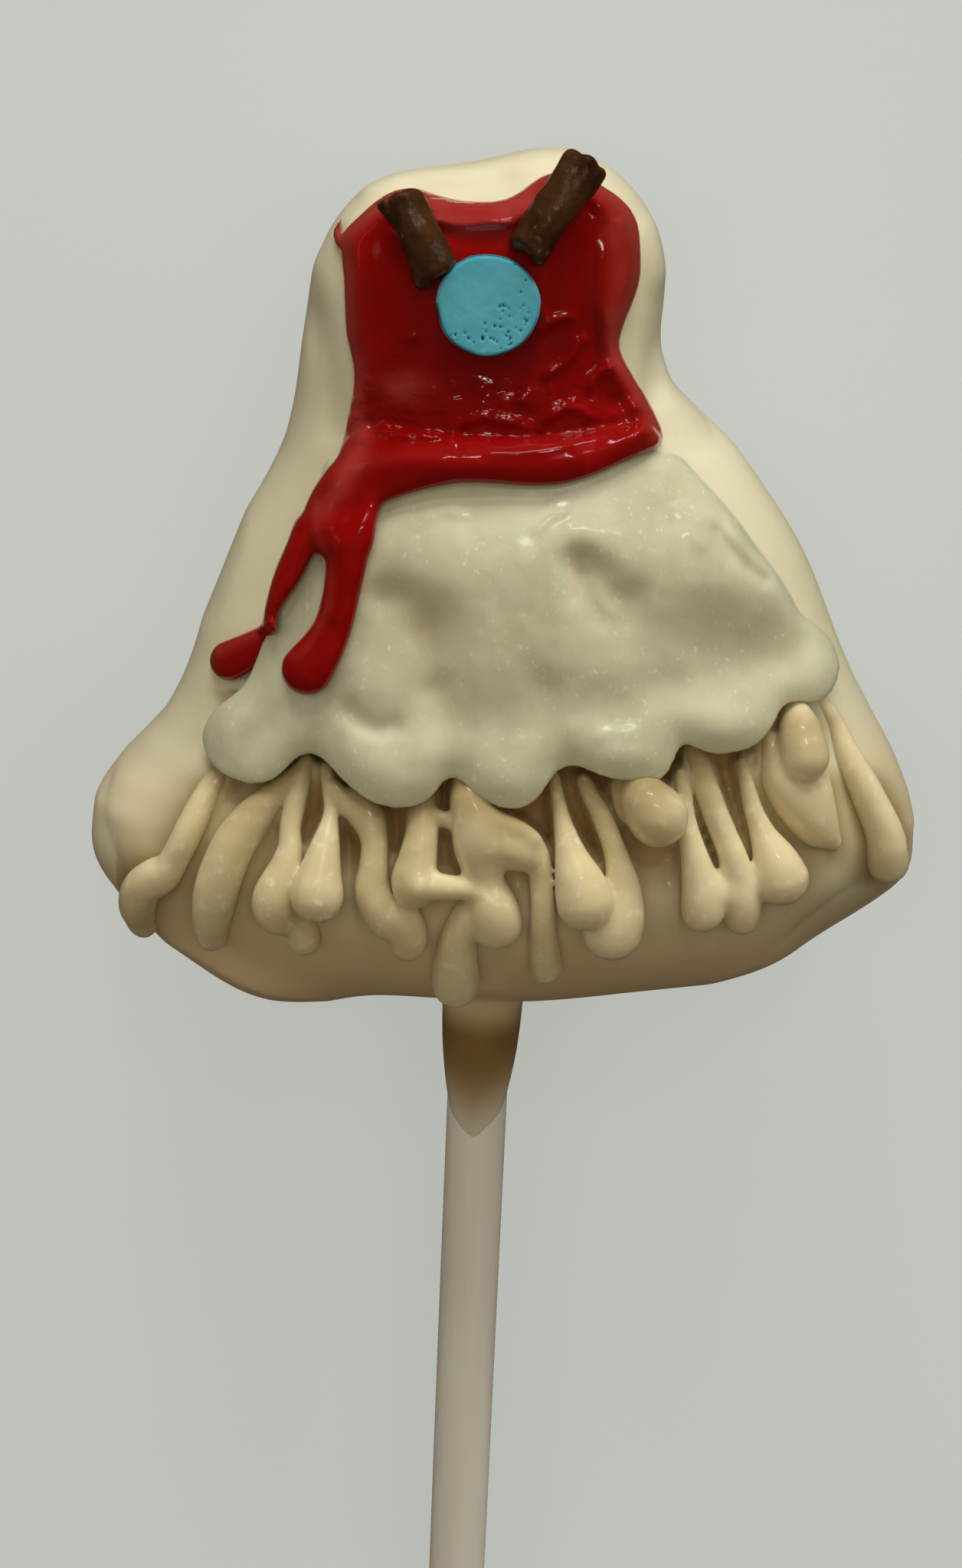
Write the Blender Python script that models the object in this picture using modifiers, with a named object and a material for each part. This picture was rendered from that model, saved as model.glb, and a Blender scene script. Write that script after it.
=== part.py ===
"""A dress-shaped cake pop on a paper stick, lying on its back with the decorated front up.

The design frame has its origin on the stick's axis, 20 mm below the middle of
the resting flat: X to the right of the front, Y from the hem to the neckline,
Z out of the front.  Sizes in the tables are millimetres.  The whole design
hangs from one empty, which puts the middle of the resting flat at the world
origin and the front up.
"""

import math

import bmesh
import bpy
import numpy as np
from mathutils import Vector

MM = 0.001

# ---------------------------------------------------------------- driving sizes
STICK_DIAMETER = 4.0
STICK_LENGTH = 150.0
STICK_IN_CAKE = 28.0            # how far the stick reaches into the cake
STICK_GAP = 0.3
GAP = 0.3                       # clearance between neighbouring pieces

FLAT_DEPTH = 12.6               # resting flat, below the stick's axis
FLAT_MIDDLE = 20.0              # its middle, along the stick from the hem

HEM_START, HEM_ROUND = 11.5, 11.0       # where the underside starts to round, and over what length
NECK_START, NECK_ROUND = 45.0, 8.0      # the same at the top
SECTION_POWER = 2.4                     # between an ellipse (2) and a rounded box
HEM_POWER, NECK_POWER = 2.4, 2.3

COAT_ON_STICK = 2.5             # outer radius of the coating that ran down the stick
COAT_FRONT, COAT_BACK = 9.3, 3.2        # how far it ran, front and back

APRON_THICKNESS = 1.7
BODICE_THICKNESS = 1.1
BAND_THICKNESS = 2.3
BAND_TOP = 38.5
TUCK = 0.9                      # height that the apron keeps where the bodice runs over it

DISC_DIAMETER = 5.6
DISC_THICKNESS = 1.1
SPRINKLE_DIAMETER = 2.4

SEGMENTS, RINGS = 36, 24        # faceting of the cake

# along the stick: position, half width left, half width right, depth front, depth back
STATIONS = np.array([
    (-4.0, 24.6, 25.0, 14.0, 12.6),
    (6.0, 25.3, 26.6, 14.5, 12.9),
    (10.0, 25.6, 27.2, 14.7, 13.0),
    (13.0, 25.4, 27.1, 14.7, 13.0),
    (15.2, 24.2, 26.4, 14.5, 13.0),
    (17.2, 22.0, 25.4, 14.3, 13.0),
    (19.0, 20.4, 24.5, 14.0, 13.0),
    (24.0, 18.1, 21.6, 12.9, 12.8),
    (30.5, 15.6, 18.5, 11.3, 12.2),
    (36.4, 13.4, 14.2, 10.3, 11.0),
    (38.7, 12.9, 12.1, 10.1, 10.4),
    (41.0, 12.6, 10.1, 10.0, 10.0),
    (44.0, 12.3, 9.3, 9.9, 9.7),
    (50.0, 11.8, 9.3, 9.7, 9.3),
    (58.0, 11.6, 9.3, 9.6, 9.1),
])


# ---------------------------------------------------------------- the cake's surface
def along(column, y):
    """A station column at y, joined without overshoot between the stations."""
    xs, ys = STATIONS[:, 0], STATIONS[:, column]
    h = np.diff(xs)
    d = np.diff(ys) / h
    m = np.empty_like(ys)
    m[0], m[-1] = d[0], d[-1]
    for i in range(1, len(xs) - 1):
        m[i] = 0.0 if d[i - 1] * d[i] <= 0 else 2 * d[i - 1] * d[i] / (d[i - 1] + d[i])
    i = np.clip(np.searchsorted(xs, y) - 1, 0, len(h) - 1)
    t = np.clip((y - xs[i]) / h[i], 0, 1)
    return ((2 * t**3 - 3 * t**2 + 1) * ys[i] + (t**3 - 2 * t**2 + t) * h[i] * m[i]
            + (3 * t**2 - 2 * t**3) * ys[i + 1] + (t**3 - t**2) * h[i] * m[i + 1])


def smooth(edge0, edge1, value):
    t = np.clip((value - edge0) / (edge1 - edge0), 0, 1)
    return t * t * (3 - 2 * t)


def level(x, y, z):
    """Zero on the cake's surface, negative inside."""
    low = 1 - smooth(6.0, 20.0, y)
    high = smooth(42.0, 51.0, y)
    # the underside climbs towards the front and the right
    slide = low * (0.20 * np.maximum(z, 0) + 0.07 * np.maximum(x - 3, 0))
    # the right shoulder stands higher than the left
    slide = slide + high * 0.85 * np.tanh((x + 0.5) / 3.0)
    y = y - slide
    left, right = along(1, y), along(2, y)
    depth = np.where(z > 0, along(3, y), along(4, y))
    u = np.abs(x - (right - left) / 2) / ((right + left) / 2)
    w = np.abs(z) / depth
    hem = np.maximum(HEM_START - y, 0) / HEM_ROUND
    neck = np.maximum(y - NECK_START, 0) / NECK_ROUND
    total = u**SECTION_POWER + w**SECTION_POWER + hem**HEM_POWER + neck**NECK_POWER
    return total ** (1 / SECTION_POWER) - 1


def gradient(p):
    e = 0.05
    g = np.empty_like(p)
    for k in range(3):
        step = np.zeros(3)
        step[k] = e
        a, b = p + step, p - step
        g[:, k] = (level(*a.T) - level(*b.T)) / (2 * e)
    return g


def distance(p):
    """Signed distance to the cake, good to a few hundredths near its surface."""
    p = np.atleast_2d(np.asarray(p, float))
    slope = np.linalg.norm(gradient(p), axis=1)
    return level(*p.T) / np.maximum(slope, 1e-6)


def pole(x, start, end):
    """Where a line along the stick leaves the cake."""
    inside, outside = start, end
    for _ in range(40):
        middle = (inside + outside) / 2
        if level(np.array([x]), np.array([middle]), np.array([0.0]))[0] > 0:
            outside = middle
        else:
            inside = middle
    return inside


BOTTOM, TOP = pole(0.0, 20, -10), pole(-1.5, 40, 62)


def front(x, y, lift=0.0):
    """The height of the front face, or of a layer lift above it, at (x, y)."""
    inside, outside = 0.0, 26.0
    for _ in range(40):
        middle = (inside + outside) / 2
        if distance([(x, y, middle)])[0] > lift:
            outside = middle
        else:
            inside = middle
    return inside


# ---------------------------------------------------------------- scene helpers
for old in list(bpy.data.objects):
    bpy.data.objects.remove(old, do_unlink=True)

parts = bpy.data.collections.new("cake_pop")
cutters = bpy.data.collections.new("cutters")
bpy.context.scene.collection.children.link(parts)
bpy.context.scene.collection.children.link(cutters)

frame = bpy.data.objects.new("cake_pop_frame", None)
frame.location = (0, -FLAT_MIDDLE * MM, FLAT_DEPTH * MM)
parts.objects.link(frame)


def material(name, colour, roughness, metallic=0.0):
    m = bpy.data.materials.new(name)
    m.use_nodes = True
    shader = m.node_tree.nodes["Principled BSDF"]
    shader.inputs["Base Color"].default_value = (*colour, 1)
    shader.inputs["Roughness"].default_value = roughness
    shader.inputs["Metallic"].default_value = metallic
    m.diffuse_color = (*colour, 1)
    return m


COATING = material("cream_coating", (0.62, 0.52, 0.34), 0.42)
PAPER = material("white_paper", (0.80, 0.79, 0.74), 0.75)
IVORY = material("ivory_icing", (0.66, 0.65, 0.48), 0.35)
TAN = material("tan_icing", (0.52, 0.42, 0.24), 0.35)
RED = material("red_icing", (0.24, 0.005, 0.008), 0.18)
BLUE = material("blue_confetti", (0.10, 0.45, 0.52), 0.7)
CHOCOLATE = material("chocolate_sprinkle", (0.075, 0.028, 0.014), 0.45)


def add(name, mesh, mat=None, cutter=False):
    obj = bpy.data.objects.new(name, mesh)
    obj.parent = frame
    if cutter:
        cutters.objects.link(obj)
        obj.hide_render = True
        obj.display_type = "WIRE"
    else:
        parts.objects.link(obj)
        mesh.materials.append(mat)
        mesh.shade_smooth()
        mesh.set_sharp_from_angle(angle=math.radians(50))
    return obj


def boolean(obj, operation, other):
    m = obj.modifiers.new(f"{operation.lower()} {other.name}", "BOOLEAN")
    m.operation = operation
    m.solver = "EXACT"
    m.object = other
    return m


def evaluated(obj):
    """The object's mesh with its modifiers worked in, as a mesh of its own."""
    bpy.context.view_layer.update()
    graph = bpy.context.evaluated_depsgraph_get()
    return bpy.data.meshes.new_from_object(obj.evaluated_get(graph))


def welded(mesh, apart=0.00002):
    bm = bmesh.new()
    bm.from_mesh(mesh)
    bmesh.ops.remove_doubles(bm, verts=bm.verts, dist=apart)
    bmesh.ops.recalc_face_normals(bm, faces=bm.faces)
    bm.to_mesh(mesh)
    bm.free()
    return mesh


def skin(name, lift):
    """A sphere drawn out to the cake's surface and lifted off it by lift(x, y)."""
    bm = bmesh.new()
    bmesh.ops.create_uvsphere(bm, u_segments=SEGMENTS, v_segments=RINGS, radius=1.0)
    unit = np.array([v.co[:] for v in bm.verts])
    middle, half = (BOTTOM + TOP) / 2, (TOP - BOTTOM) / 2
    y = middle + half * unit[:, 2]
    rho = np.hypot(unit[:, 0], unit[:, 1])
    at_pole = rho < 1e-4
    c = np.where(at_pole, 1.0, unit[:, 0] / np.maximum(rho, 1e-9))
    s = np.where(at_pole, 0.0, -unit[:, 1] / np.maximum(rho, 1e-9))
    centre = np.where(y > 40, -1.5, 0.0)
    near, far = np.zeros(len(y)), np.full(len(y), 45.0)
    for _ in range(40):
        mid = (near + far) / 2
        out = level(centre + mid * c, y, mid * s) > 0
        far = np.where(out, mid, far)
        near = np.where(out, near, mid)
    near[at_pole] = 0.0
    p = np.stack([centre + near * c, y, near * s], axis=1)
    n = gradient(p)
    n /= np.linalg.norm(n, axis=1)[:, None]
    p += n * lift(p[:, 0], p[:, 1])[:, None]
    for v, q in zip(bm.verts, p):
        v.co = Vector(q) * MM
    mesh = bpy.data.meshes.new(name)
    bm.to_mesh(mesh)
    bm.free()
    return mesh


def prism(name, outline, z0=1.0, z1=24.0):
    """A closed outline in the front plane, extruded from z0 to z1, as a cutter."""
    curve = bpy.data.curves.new(name, "CURVE")
    curve.dimensions = "2D"
    curve.fill_mode = "BOTH"
    curve.extrude = (z1 - z0) / 2 * MM
    spline = curve.splines.new("POLY")
    spline.points.add(len(outline) - 1)
    for point, (x, y) in zip(spline.points, outline):
        point.co = (x * MM, y * MM, 0, 1)
    spline.use_cyclic_u = True
    guide = bpy.data.objects.new(name + "_guide", curve)
    cutters.objects.link(guide)
    mesh = welded(evaluated(guide))
    bpy.data.objects.remove(guide, do_unlink=True)
    obj = add(name, mesh, cutter=True)
    obj.location = (0, 0, (z0 + z1) / 2 * MM)
    return obj


def grown(outline, by):
    """The outline moved outwards; its points run anticlockwise."""
    p = np.asarray(outline, float)
    t = np.roll(p, -1, axis=0) - np.roll(p, 1, axis=0)
    t /= np.linalg.norm(t, axis=1)[:, None]
    return p + np.stack([t[:, 1], -t[:, 0]], axis=1) * by


def rounded(corners, steps=4):
    """A closed smooth curve through the corners."""
    p = np.asarray(corners, float)
    a, b, c, d = (np.roll(p, k, axis=0) for k in (1, 0, -1, -2))
    out = []
    for i in range(len(p)):
        for k in range(steps):
            t = k / steps
            out.append(0.5 * (2 * b[i] + (c[i] - a[i]) * t
                              + (2 * a[i] - 5 * b[i] + 4 * c[i] - d[i]) * t**2
                              + (3 * b[i] - a[i] - 3 * c[i] + d[i]) * t**3))
    return np.array(out)


# ---------------------------------------------------------------- outlines of the two icing layers
# hem scallops of the apron: middle, radius
SCALLOPS = [(-14.2, 20.9, 2.9), (-5.4, 20.9, 3.3), (0.9, 20.7, 2.9),
            (7.9, 22.4, 2.9), (12.9, 23.9, 3.0), (18.2, 25.3, 2.0)]
APRON_LEFT = [(-10.4, 37.0), (-10.9, 34.0), (-12.6, 28.0), (-14.6, 23.5)]
APRON_RIGHT = [(19.9, 26.6), (17.4, 29.2), (14.0, 33.4), (10.0, 37.2)]


def hem_line(x):
    """The hem between the scallops, which climbs to the right."""
    return 20.3 + 3.4 * smooth(4.0, 17.0, x) + 0.6 * smooth(-6.0, -14.0, x)


def apron_outline():
    points = list(APRON_LEFT)
    start = SCALLOPS[0]
    for k in range(7):                      # round the first scallop's outer side
        a = math.radians(145 + 18 * k)
        points.append((start[0] + start[2] * math.cos(a), start[1] + start[2] * math.sin(a)))
    for x in np.arange(start[0] + 0.4, 19.2, 0.8):
        low = hem_line(x)
        for cx, cy, r in SCALLOPS:
            if abs(x - cx) < r:
                low = min(low, cy - math.sqrt(r * r - (x - cx) ** 2))
        points.append((x, low))
    points += APRON_RIGHT
    return np.array(points)


# the bodice, anticlockwise from the left end of its lower band
BODICE = [(-9.6, 34.2), (-5.5, 34.9), (-0.3, 35.2), (4.8, 36.2), (8.4, 37.8), (7.5, 40.4),
          (6.0, 42.9), (6.6, 46.4), (6.1, 49.8), (3.0, 51.4), (-0.9, 49.9), (-5.0, 50.2),
          (-8.2, 49.6), (-9.7, 47.6), (-8.9, 43.0), (-8.6, 40.4), (-9.4, 37.0)]
# drips from the band: from, to, radius at either end
DRIPS = [((-8.9, 35.4), (-9.2, 29.8), 1.55, 1.35), ((-9.2, 29.8), (-10.9, 24.9), 1.35, 1.55),
         ((-10.2, 33.2), (-12.6, 28.4), 1.1, 0.75), ((-12.6, 28.4), (-13.6, 26.0), 0.75, 0.75),
         ((-13.6, 26.0), (-15.7, 24.6), 0.9, 1.25)]


def capsule(a, b, ra, rb, more=0.0, sides=7):
    """The outline of a drip from a to b, round at both ends, anticlockwise."""
    a, b = np.array(a), np.array(b)
    heading = math.atan2(*(b - a)[::-1])
    points = []
    for end, radius, first in ((b, rb, heading - math.pi / 2), (a, ra, heading + math.pi / 2)):
        for k in range(sides + 1):
            angle = first + math.pi * k / sides
            points.append(end + (radius + more) * np.array([math.cos(angle), math.sin(angle)]))
    return np.array(points)


def bodice_prism(name, more):
    obj = prism(name, grown(rounded(BODICE), more), 1.0, 24.0)
    for k, (a, b, ra, rb) in enumerate(DRIPS):
        drip = prism(f"{name}_drip_{k}", capsule(a, b, ra, rb, more), 1.1 + 0.1 * k, 23.9 - 0.1 * k)
        boolean(obj, "UNION", drip)
    return obj


# ---------------------------------------------------------------- the cake in its coating
body = add("cake_body", skin("cake_body", lambda x, y: 0 * x), COATING)

bm = bmesh.new()
bmesh.ops.create_cone(bm, cap_ends=True, segments=28, radius1=1.0, radius2=1.0, depth=1.0)
for v in bm.verts:
    c, s = v.co.x, v.co.y               # unit circle in the plane across the stick
    if v.co.z > 0:                      # the end that is buried in the cake
        radius, y = COAT_ON_STICK + 0.9, 4.0
    else:                               # the run-out, longest at the front
        radius, y = COAT_ON_STICK + 0.15, -(COAT_FRONT + COAT_BACK) / 2 - (COAT_FRONT - COAT_BACK) / 2 * s
    v.co = Vector((c * radius, y, s * radius)) * MM
bmesh.ops.recalc_face_normals(bm, faces=bm.faces)
sleeve_mesh = bpy.data.meshes.new("coat_on_stick")
bm.to_mesh(sleeve_mesh)
bm.free()
sleeve = add("coat_on_stick", sleeve_mesh, cutter=True)
boolean(body, "UNION", sleeve)


def round_bar(name, radius, y0, y1, sides, cutter=False, mat=None):
    """A straight round bar along the stick's axis."""
    bm = bmesh.new()
    bmesh.ops.create_cone(bm, cap_ends=True, segments=sides, radius1=radius * MM,
                          radius2=radius * MM, depth=(y1 - y0) * MM)
    mesh = bpy.data.meshes.new(name)
    bm.to_mesh(mesh)
    bm.free()
    obj = add(name, mesh, mat, cutter)
    obj.rotation_euler = (math.radians(90), 0, 0)
    obj.location = (0, (y0 + y1) / 2 * MM, 0)
    return obj


bore = round_bar("stick_bore", STICK_DIAMETER / 2 + STICK_GAP, -30.0, STICK_IN_CAKE + STICK_GAP, 28, cutter=True)
boolean(body, "DIFFERENCE", bore)

bm = bmesh.new()
bmesh.ops.create_cube(bm, size=1.0)
for v in bm.verts:
    v.co = Vector((v.co.x * 80 * MM, (v.co.y * 90 + FLAT_MIDDLE) * MM, (v.co.z * 10 - FLAT_DEPTH - 5) * MM))
table_mesh = bpy.data.meshes.new("table_cut")
bm.to_mesh(table_mesh)
bm.free()
table = add("table_cut", table_mesh, cutter=True)
boolean(body, "DIFFERENCE", table)

# ---------------------------------------------------------------- the stick
stick = round_bar("stick", STICK_DIAMETER / 2, STICK_IN_CAKE - STICK_LENGTH, STICK_IN_CAKE, 28, mat=PAPER)
edge = stick.modifiers.new("worn ends", "BEVEL")
edge.width = 0.3 * MM
edge.segments = 2
edge.limit_method = "ANGLE"
edge.angle_limit = math.radians(60)

# ---------------------------------------------------------------- icing layers
clear_skin = add("cake_clearance", skin("cake_clearance", lambda x, y: GAP + 0 * x), cutter=True)


def apron_height(x, y):
    """The apron is as thick as a pour of icing, thinner at the waist, with shallow dents."""
    dents = ((-4.0, 28.0, 2.6, 0.45), (4.6, 30.5, 2.4, 0.55), (-7.0, 23.8, 2.2, 0.30), (8.5, 28.0, 2.0, 0.25))
    h = APRON_THICKNESS - 0.35 * smooth(27.0, 35.0, y)
    for cx, cy, r, depth in dents:
        h = h - depth * np.exp(-((x - cx) ** 2 + (y - cy) ** 2) / r**2)
    return h


def bodice_height(x, y):
    return BODICE_THICKNESS + (BAND_THICKNESS - BODICE_THICKNESS) * (1 - smooth(BAND_TOP - 2.0, BAND_TOP, y))


apron_top = add("apron_top", skin("apron_top", apron_height), cutter=True)
bodice_top = add("bodice_top", skin("bodice_top", bodice_height), cutter=True)
tuck_skin = add("tuck_under_bodice", skin("tuck_under_bodice", lambda x, y: TUCK + 0 * x), cutter=True)
over_skin = add("tuck_clearance", skin("tuck_clearance", lambda x, y: TUCK + GAP + 0 * x), cutter=True)
# the bodice lies on the apron: the apron is thin below it, and the bodice starts above that
bodice_clearance = bodice_prism("bodice_clearance", GAP)
boolean(bodice_clearance, "DIFFERENCE", tuck_skin)
apron_shape = apron_outline()
apron_clearance = prism("apron_clearance", grown(apron_shape, GAP), 0.9, 24.1)
apron_tuck = prism("apron_tuck", grown(apron_shape, GAP), 0.8, 24.2)
boolean(apron_tuck, "INTERSECT", over_skin)


def layer(name, outline_object, top, mat, without=()):
    """An icing layer: its outline, no higher than top, clear of the cake."""
    obj = add(name, evaluated(outline_object), mat)
    obj.location = outline_object.location
    boolean(obj, "INTERSECT", top)
    boolean(obj, "DIFFERENCE", clear_skin)
    for other in without:
        boolean(obj, "DIFFERENCE", other)
    return obj


apron = layer("apron", prism("apron_shape", apron_shape), apron_top, IVORY, [bodice_clearance])
bodice = layer("bodice", bodice_prism("bodice_shape", 0.0), bodice_top, RED, [apron_tuck])

# ---------------------------------------------------------------- the piped fringe
# strand: top, tip, bow to the right, radius of the neck, radius of the drop at the tip
FRINGE = {
    "fringe_left": [((-16.4, 19.4), (-19.5, 12.4), 0.3, 1.0, 1.2), ((-19.9, 12.0), (-20.4, 9.3), -0.3, 1.2, 1.2)],
    "fringe_middle": [
        ((-12.8, 19.0), (-15.9, 9.4), -0.4, 1.15, 1.3),
        ((-11.2, 20.0), (-12.2, 11.2), 0.6, 0.8, 1.4),
        ((-12.8, 18.2), (-10.9, 17.4), 0.0, 1.0, 1.0),
        ((-9.4, 20.0), (-9.8, 12.1), 0.3, 0.65, 1.75),
        ((-11.0, 11.2), (-10.8, 9.4), 0.0, 1.0, 0.95),
        ((-8.6, 18.6), (-4.8, 10.0), -0.9, 0.85, 1.1),
        ((-4.0, 19.2), (-4.3, 12.4), 0.0, 1.1, 1.4),
        ((-3.6, 13.4), (0.2, 12.6), 0.5, 0.8, 0.9),
        ((-1.4, 19.6), (-0.1, 11.4), 0.3, 1.1, 1.75),
        ((-0.6, 16.4), (3.0, 15.6), 0.2, 1.1, 1.0),
        ((-1.5, 11.2), (-1.8, 7.0), 0.0, 1.1, 1.5),
        ((2.9, 19.4), (3.5, 8.7), -0.3, 0.8, 0.95),
        ((3.3, 20.2), (5.3, 12.9), -0.2, 0.65, 1.9),
        ((5.3, 20.4), (7.1, 10.9), 0.7, 0.75, 1.9),
    ],
    "fringe_right": [
        ((8.2, 20.4), (9.4, 17.7), 0.0, 1.3, 1.95),
        ((10.2, 18.0), (11.8, 12.5), 0.2, 0.9, 1.35),
        ((11.2, 21.4), (14.3, 12.1), 0.2, 0.9, 1.25),
        ((13.6, 21.6), (16.2, 14.2), 0.0, 0.85, 1.75),
        ((16.6, 23.8), (17.2, 20.2), 0.0, 0.8, 1.7),
        ((16.6, 19.2), (18.2, 16.8), 0.0, 1.3, 1.2),
        ((14.6, 19.8), (17.4, 17.6), 0.0, 1.0, 1.2),
        ((12.2, 12.2), (15.6, 13.6), 0.0, 1.0, 1.1),
        ((18.6, 16.2), (19.6, 15.2), 0.0, 0.7, 0.6),
    ],
    "fringe_edge": [((19.4, 23.2), (23.1, 14.3), 0.9, 0.95, 1.25)],
}


def strand(name, top, tip, bow, neck, drop, points=11):
    """One piped strand: a tube that swells into a round drop, laid on the cake's front."""
    (x0, y0), (x1, y1) = top, tip
    length = math.hypot(x1 - x0, y1 - y0) + drop
    across = ((y0 - y1) / length, (x1 - x0) / length)
    curve = bpy.data.curves.new(name, "CURVE")
    curve.dimensions = "3D"
    curve.bevel_depth = 1.0 * MM
    curve.bevel_resolution = 2
    curve.use_fill_caps = True
    spline = curve.splines.new("POLY")
    spline.points.add(points - 1)
    for k, point in enumerate(spline.points):
        t = k / (points - 1)
        reach = t * length                              # distance along the strand
        to_end = length - reach
        swell = smooth(0.35, 0.85, t)
        radius = neck + (drop - neck) * swell
        if to_end < drop:                               # the round end of the drop
            radius = min(radius, math.sqrt(max(drop**2 - (drop - to_end) ** 2, 0.0)) + 0.05)
        s = reach / max(length - drop, 1e-6)
        side = bow * math.sin(math.pi * min(s, 1.0))
        x = x0 + (x1 - x0) * s + across[0] * side
        y = y0 + (y1 - y0) * s + across[1] * side
        z = front(x, y) + 0.55 * (neck + (drop - neck) * swell) + 0.25
        point.co = (x * MM, y * MM, z * MM, 1)
        point.radius = radius
    guide = bpy.data.objects.new(name, curve)
    cutters.objects.link(guide)
    mesh = welded(evaluated(guide), 0.00001)
    bpy.data.objects.remove(guide, do_unlink=True)
    return mesh


def fringe(name, strands, share):
    """Strands that run into each other, melted into one piece behind the apron's hem."""
    bm = bmesh.new()
    for k, one in enumerate(strands):
        piece = strand(f"{name}_{k}", *one)
        bm.from_mesh(piece)
        bpy.data.meshes.remove(piece)
    mesh = bpy.data.meshes.new(name)
    bm.to_mesh(mesh)
    bm.free()
    obj = add(name, mesh, TAN)
    melt = obj.modifiers.new("melted together", "REMESH")
    melt.mode = "VOXEL"
    melt.voxel_size = 0.4 * MM
    melt.use_smooth_shade = True
    lighter = obj.modifiers.new("fewer facets", "DECIMATE")
    lighter.ratio = share
    boolean(obj, "DIFFERENCE", clear_skin)
    boolean(obj, "DIFFERENCE", apron_clearance)
    return obj


for fringe_name, table_of_strands in FRINGE.items():
    fringe(fringe_name, table_of_strands, 0.14)


# ---------------------------------------------------------------- confetti disc and sprinkles
def bodice_front(x, y):
    return front(x, y, BODICE_THICKNESS)


bm = bmesh.new()
bmesh.ops.create_cone(bm, cap_ends=True, segments=32, radius1=DISC_DIAMETER / 2 * MM,
                      radius2=DISC_DIAMETER / 2 * MM, depth=DISC_THICKNESS * MM)
disc_mesh = bpy.data.meshes.new("confetti_disc")
bm.to_mesh(disc_mesh)
bm.free()
disc = add("confetti_disc", disc_mesh, BLUE)
disc.location = (-1.5 * MM, 44.8 * MM, (bodice_front(-1.5, 44.8) + GAP + DISC_THICKNESS / 2) * MM)
soft_edge = disc.modifiers.new("soft edge", "BEVEL")
soft_edge.width = 0.3 * MM
soft_edge.segments = 2
soft_edge.limit_method = "ANGLE"
soft_edge.angle_limit = math.radians(60)


def sprinkle(name, low, high):
    """A short chocolate rod that leans on the bodice, its far end clear of the shoulder."""
    r = SPRINKLE_DIAMETER / 2
    ends = []
    for share in (0.15, 0.75):
        x = low[0] + (high[0] - low[0]) * share
        y = low[1] + (high[1] - low[1]) * share
        ends.append((x, y, front(x, y, BODICE_THICKNESS + r + GAP + 0.15)))
    a, b = np.array(ends[0]), np.array(ends[1])
    step = (b - a) / 0.6
    start, end = a - 0.15 * step, a + 0.85 * step
    axis = Vector(end - start)
    bm = bmesh.new()
    bmesh.ops.create_cone(bm, cap_ends=True, segments=14, radius1=r * 0.93 * MM, radius2=r * MM,
                          depth=axis.length * MM)
    mesh = bpy.data.meshes.new(name)
    bm.to_mesh(mesh)
    bm.free()
    obj = add(name, mesh, CHOCOLATE)
    obj.rotation_mode = "QUATERNION"
    obj.rotation_quaternion = axis.to_track_quat("Z", "Y")
    obj.location = Vector((start + end) / 2) * MM
    chip = obj.modifiers.new("blunt ends", "BEVEL")
    chip.width = 0.35 * MM
    chip.segments = 2
    chip.limit_method = "ANGLE"
    chip.angle_limit = math.radians(60)
    return obj


sprinkle("sprinkle_left", (-5.0, 46.7), (-7.0, 50.9))
sprinkle("sprinkle_right", (0.7, 47.8), (4.0, 53.0))

bpy.context.view_layer.update()
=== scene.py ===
"""Looks of the dress-shaped cake pop: coating, icing layers, piped fringe, sugar disc, sprinkles and paper stick.

The icing is modelled as level sets on regular lattices and drawn out as closed
meshes.  Shapes are worked out in the part's design frame in millimetres (origin
on the stick's axis, X right, Y from the hem to the neckline, Z out of the
front) and carried to the row frame in metres at the end.  Outlines of the
poured layers are laid down from above the front, through the same camera that
renders the scene, so they stay on the cake's surface whatever its relief.
"""

import math

import bpy
import numpy as np
from mathutils import Matrix, Vector


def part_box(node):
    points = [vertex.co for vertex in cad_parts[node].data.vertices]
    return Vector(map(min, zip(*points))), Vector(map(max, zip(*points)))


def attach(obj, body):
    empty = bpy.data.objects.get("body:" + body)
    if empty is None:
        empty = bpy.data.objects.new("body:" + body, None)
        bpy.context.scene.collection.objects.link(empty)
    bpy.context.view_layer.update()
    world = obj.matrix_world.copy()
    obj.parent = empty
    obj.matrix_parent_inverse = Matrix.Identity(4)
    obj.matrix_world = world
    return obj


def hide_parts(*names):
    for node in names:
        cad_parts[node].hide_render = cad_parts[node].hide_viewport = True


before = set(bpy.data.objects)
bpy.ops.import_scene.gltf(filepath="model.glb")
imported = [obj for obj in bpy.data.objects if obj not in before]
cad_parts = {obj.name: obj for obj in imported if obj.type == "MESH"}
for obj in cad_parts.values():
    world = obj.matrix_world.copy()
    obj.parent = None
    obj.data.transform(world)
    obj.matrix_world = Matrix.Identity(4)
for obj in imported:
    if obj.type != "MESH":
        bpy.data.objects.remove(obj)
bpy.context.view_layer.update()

MM = 0.001
TO_ROW = np.array([0.0, -20.0, 12.6])       # design frame to row frame
REST = -12.6                                # height of the resting flat in the design frame

# ---------------------------------------------------------------- the camera, in the design frame
WIDE, HIGH, FOCAL = 1256, 2048, 2500.0
CAM_AT = np.array([-2.038, 50.216, 116.705])
CAM_RIGHT = np.array([0.99921, 0.03985, 0.0])
CAM_DOWN = np.array([0.03811, -0.95554, 0.29237])
CAM_AHEAD = np.array([0.01165, -0.29214, -0.95630])


def project(x, y, z):
    """Where a point shows in the frame, and how deep it lies (mm)."""
    dx, dy, dz = x - CAM_AT[0], y - CAM_AT[1], z - CAM_AT[2]
    deep = dx * CAM_AHEAD[0] + dy * CAM_AHEAD[1] + dz * CAM_AHEAD[2]
    u = WIDE / 2 + FOCAL * (dx * CAM_RIGHT[0] + dy * CAM_RIGHT[1] + dz * CAM_RIGHT[2]) / deep
    v = HIGH / 2 + FOCAL * (dx * CAM_DOWN[0] + dy * CAM_DOWN[1] + dz * CAM_DOWN[2]) / deep
    return u, v, deep


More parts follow.
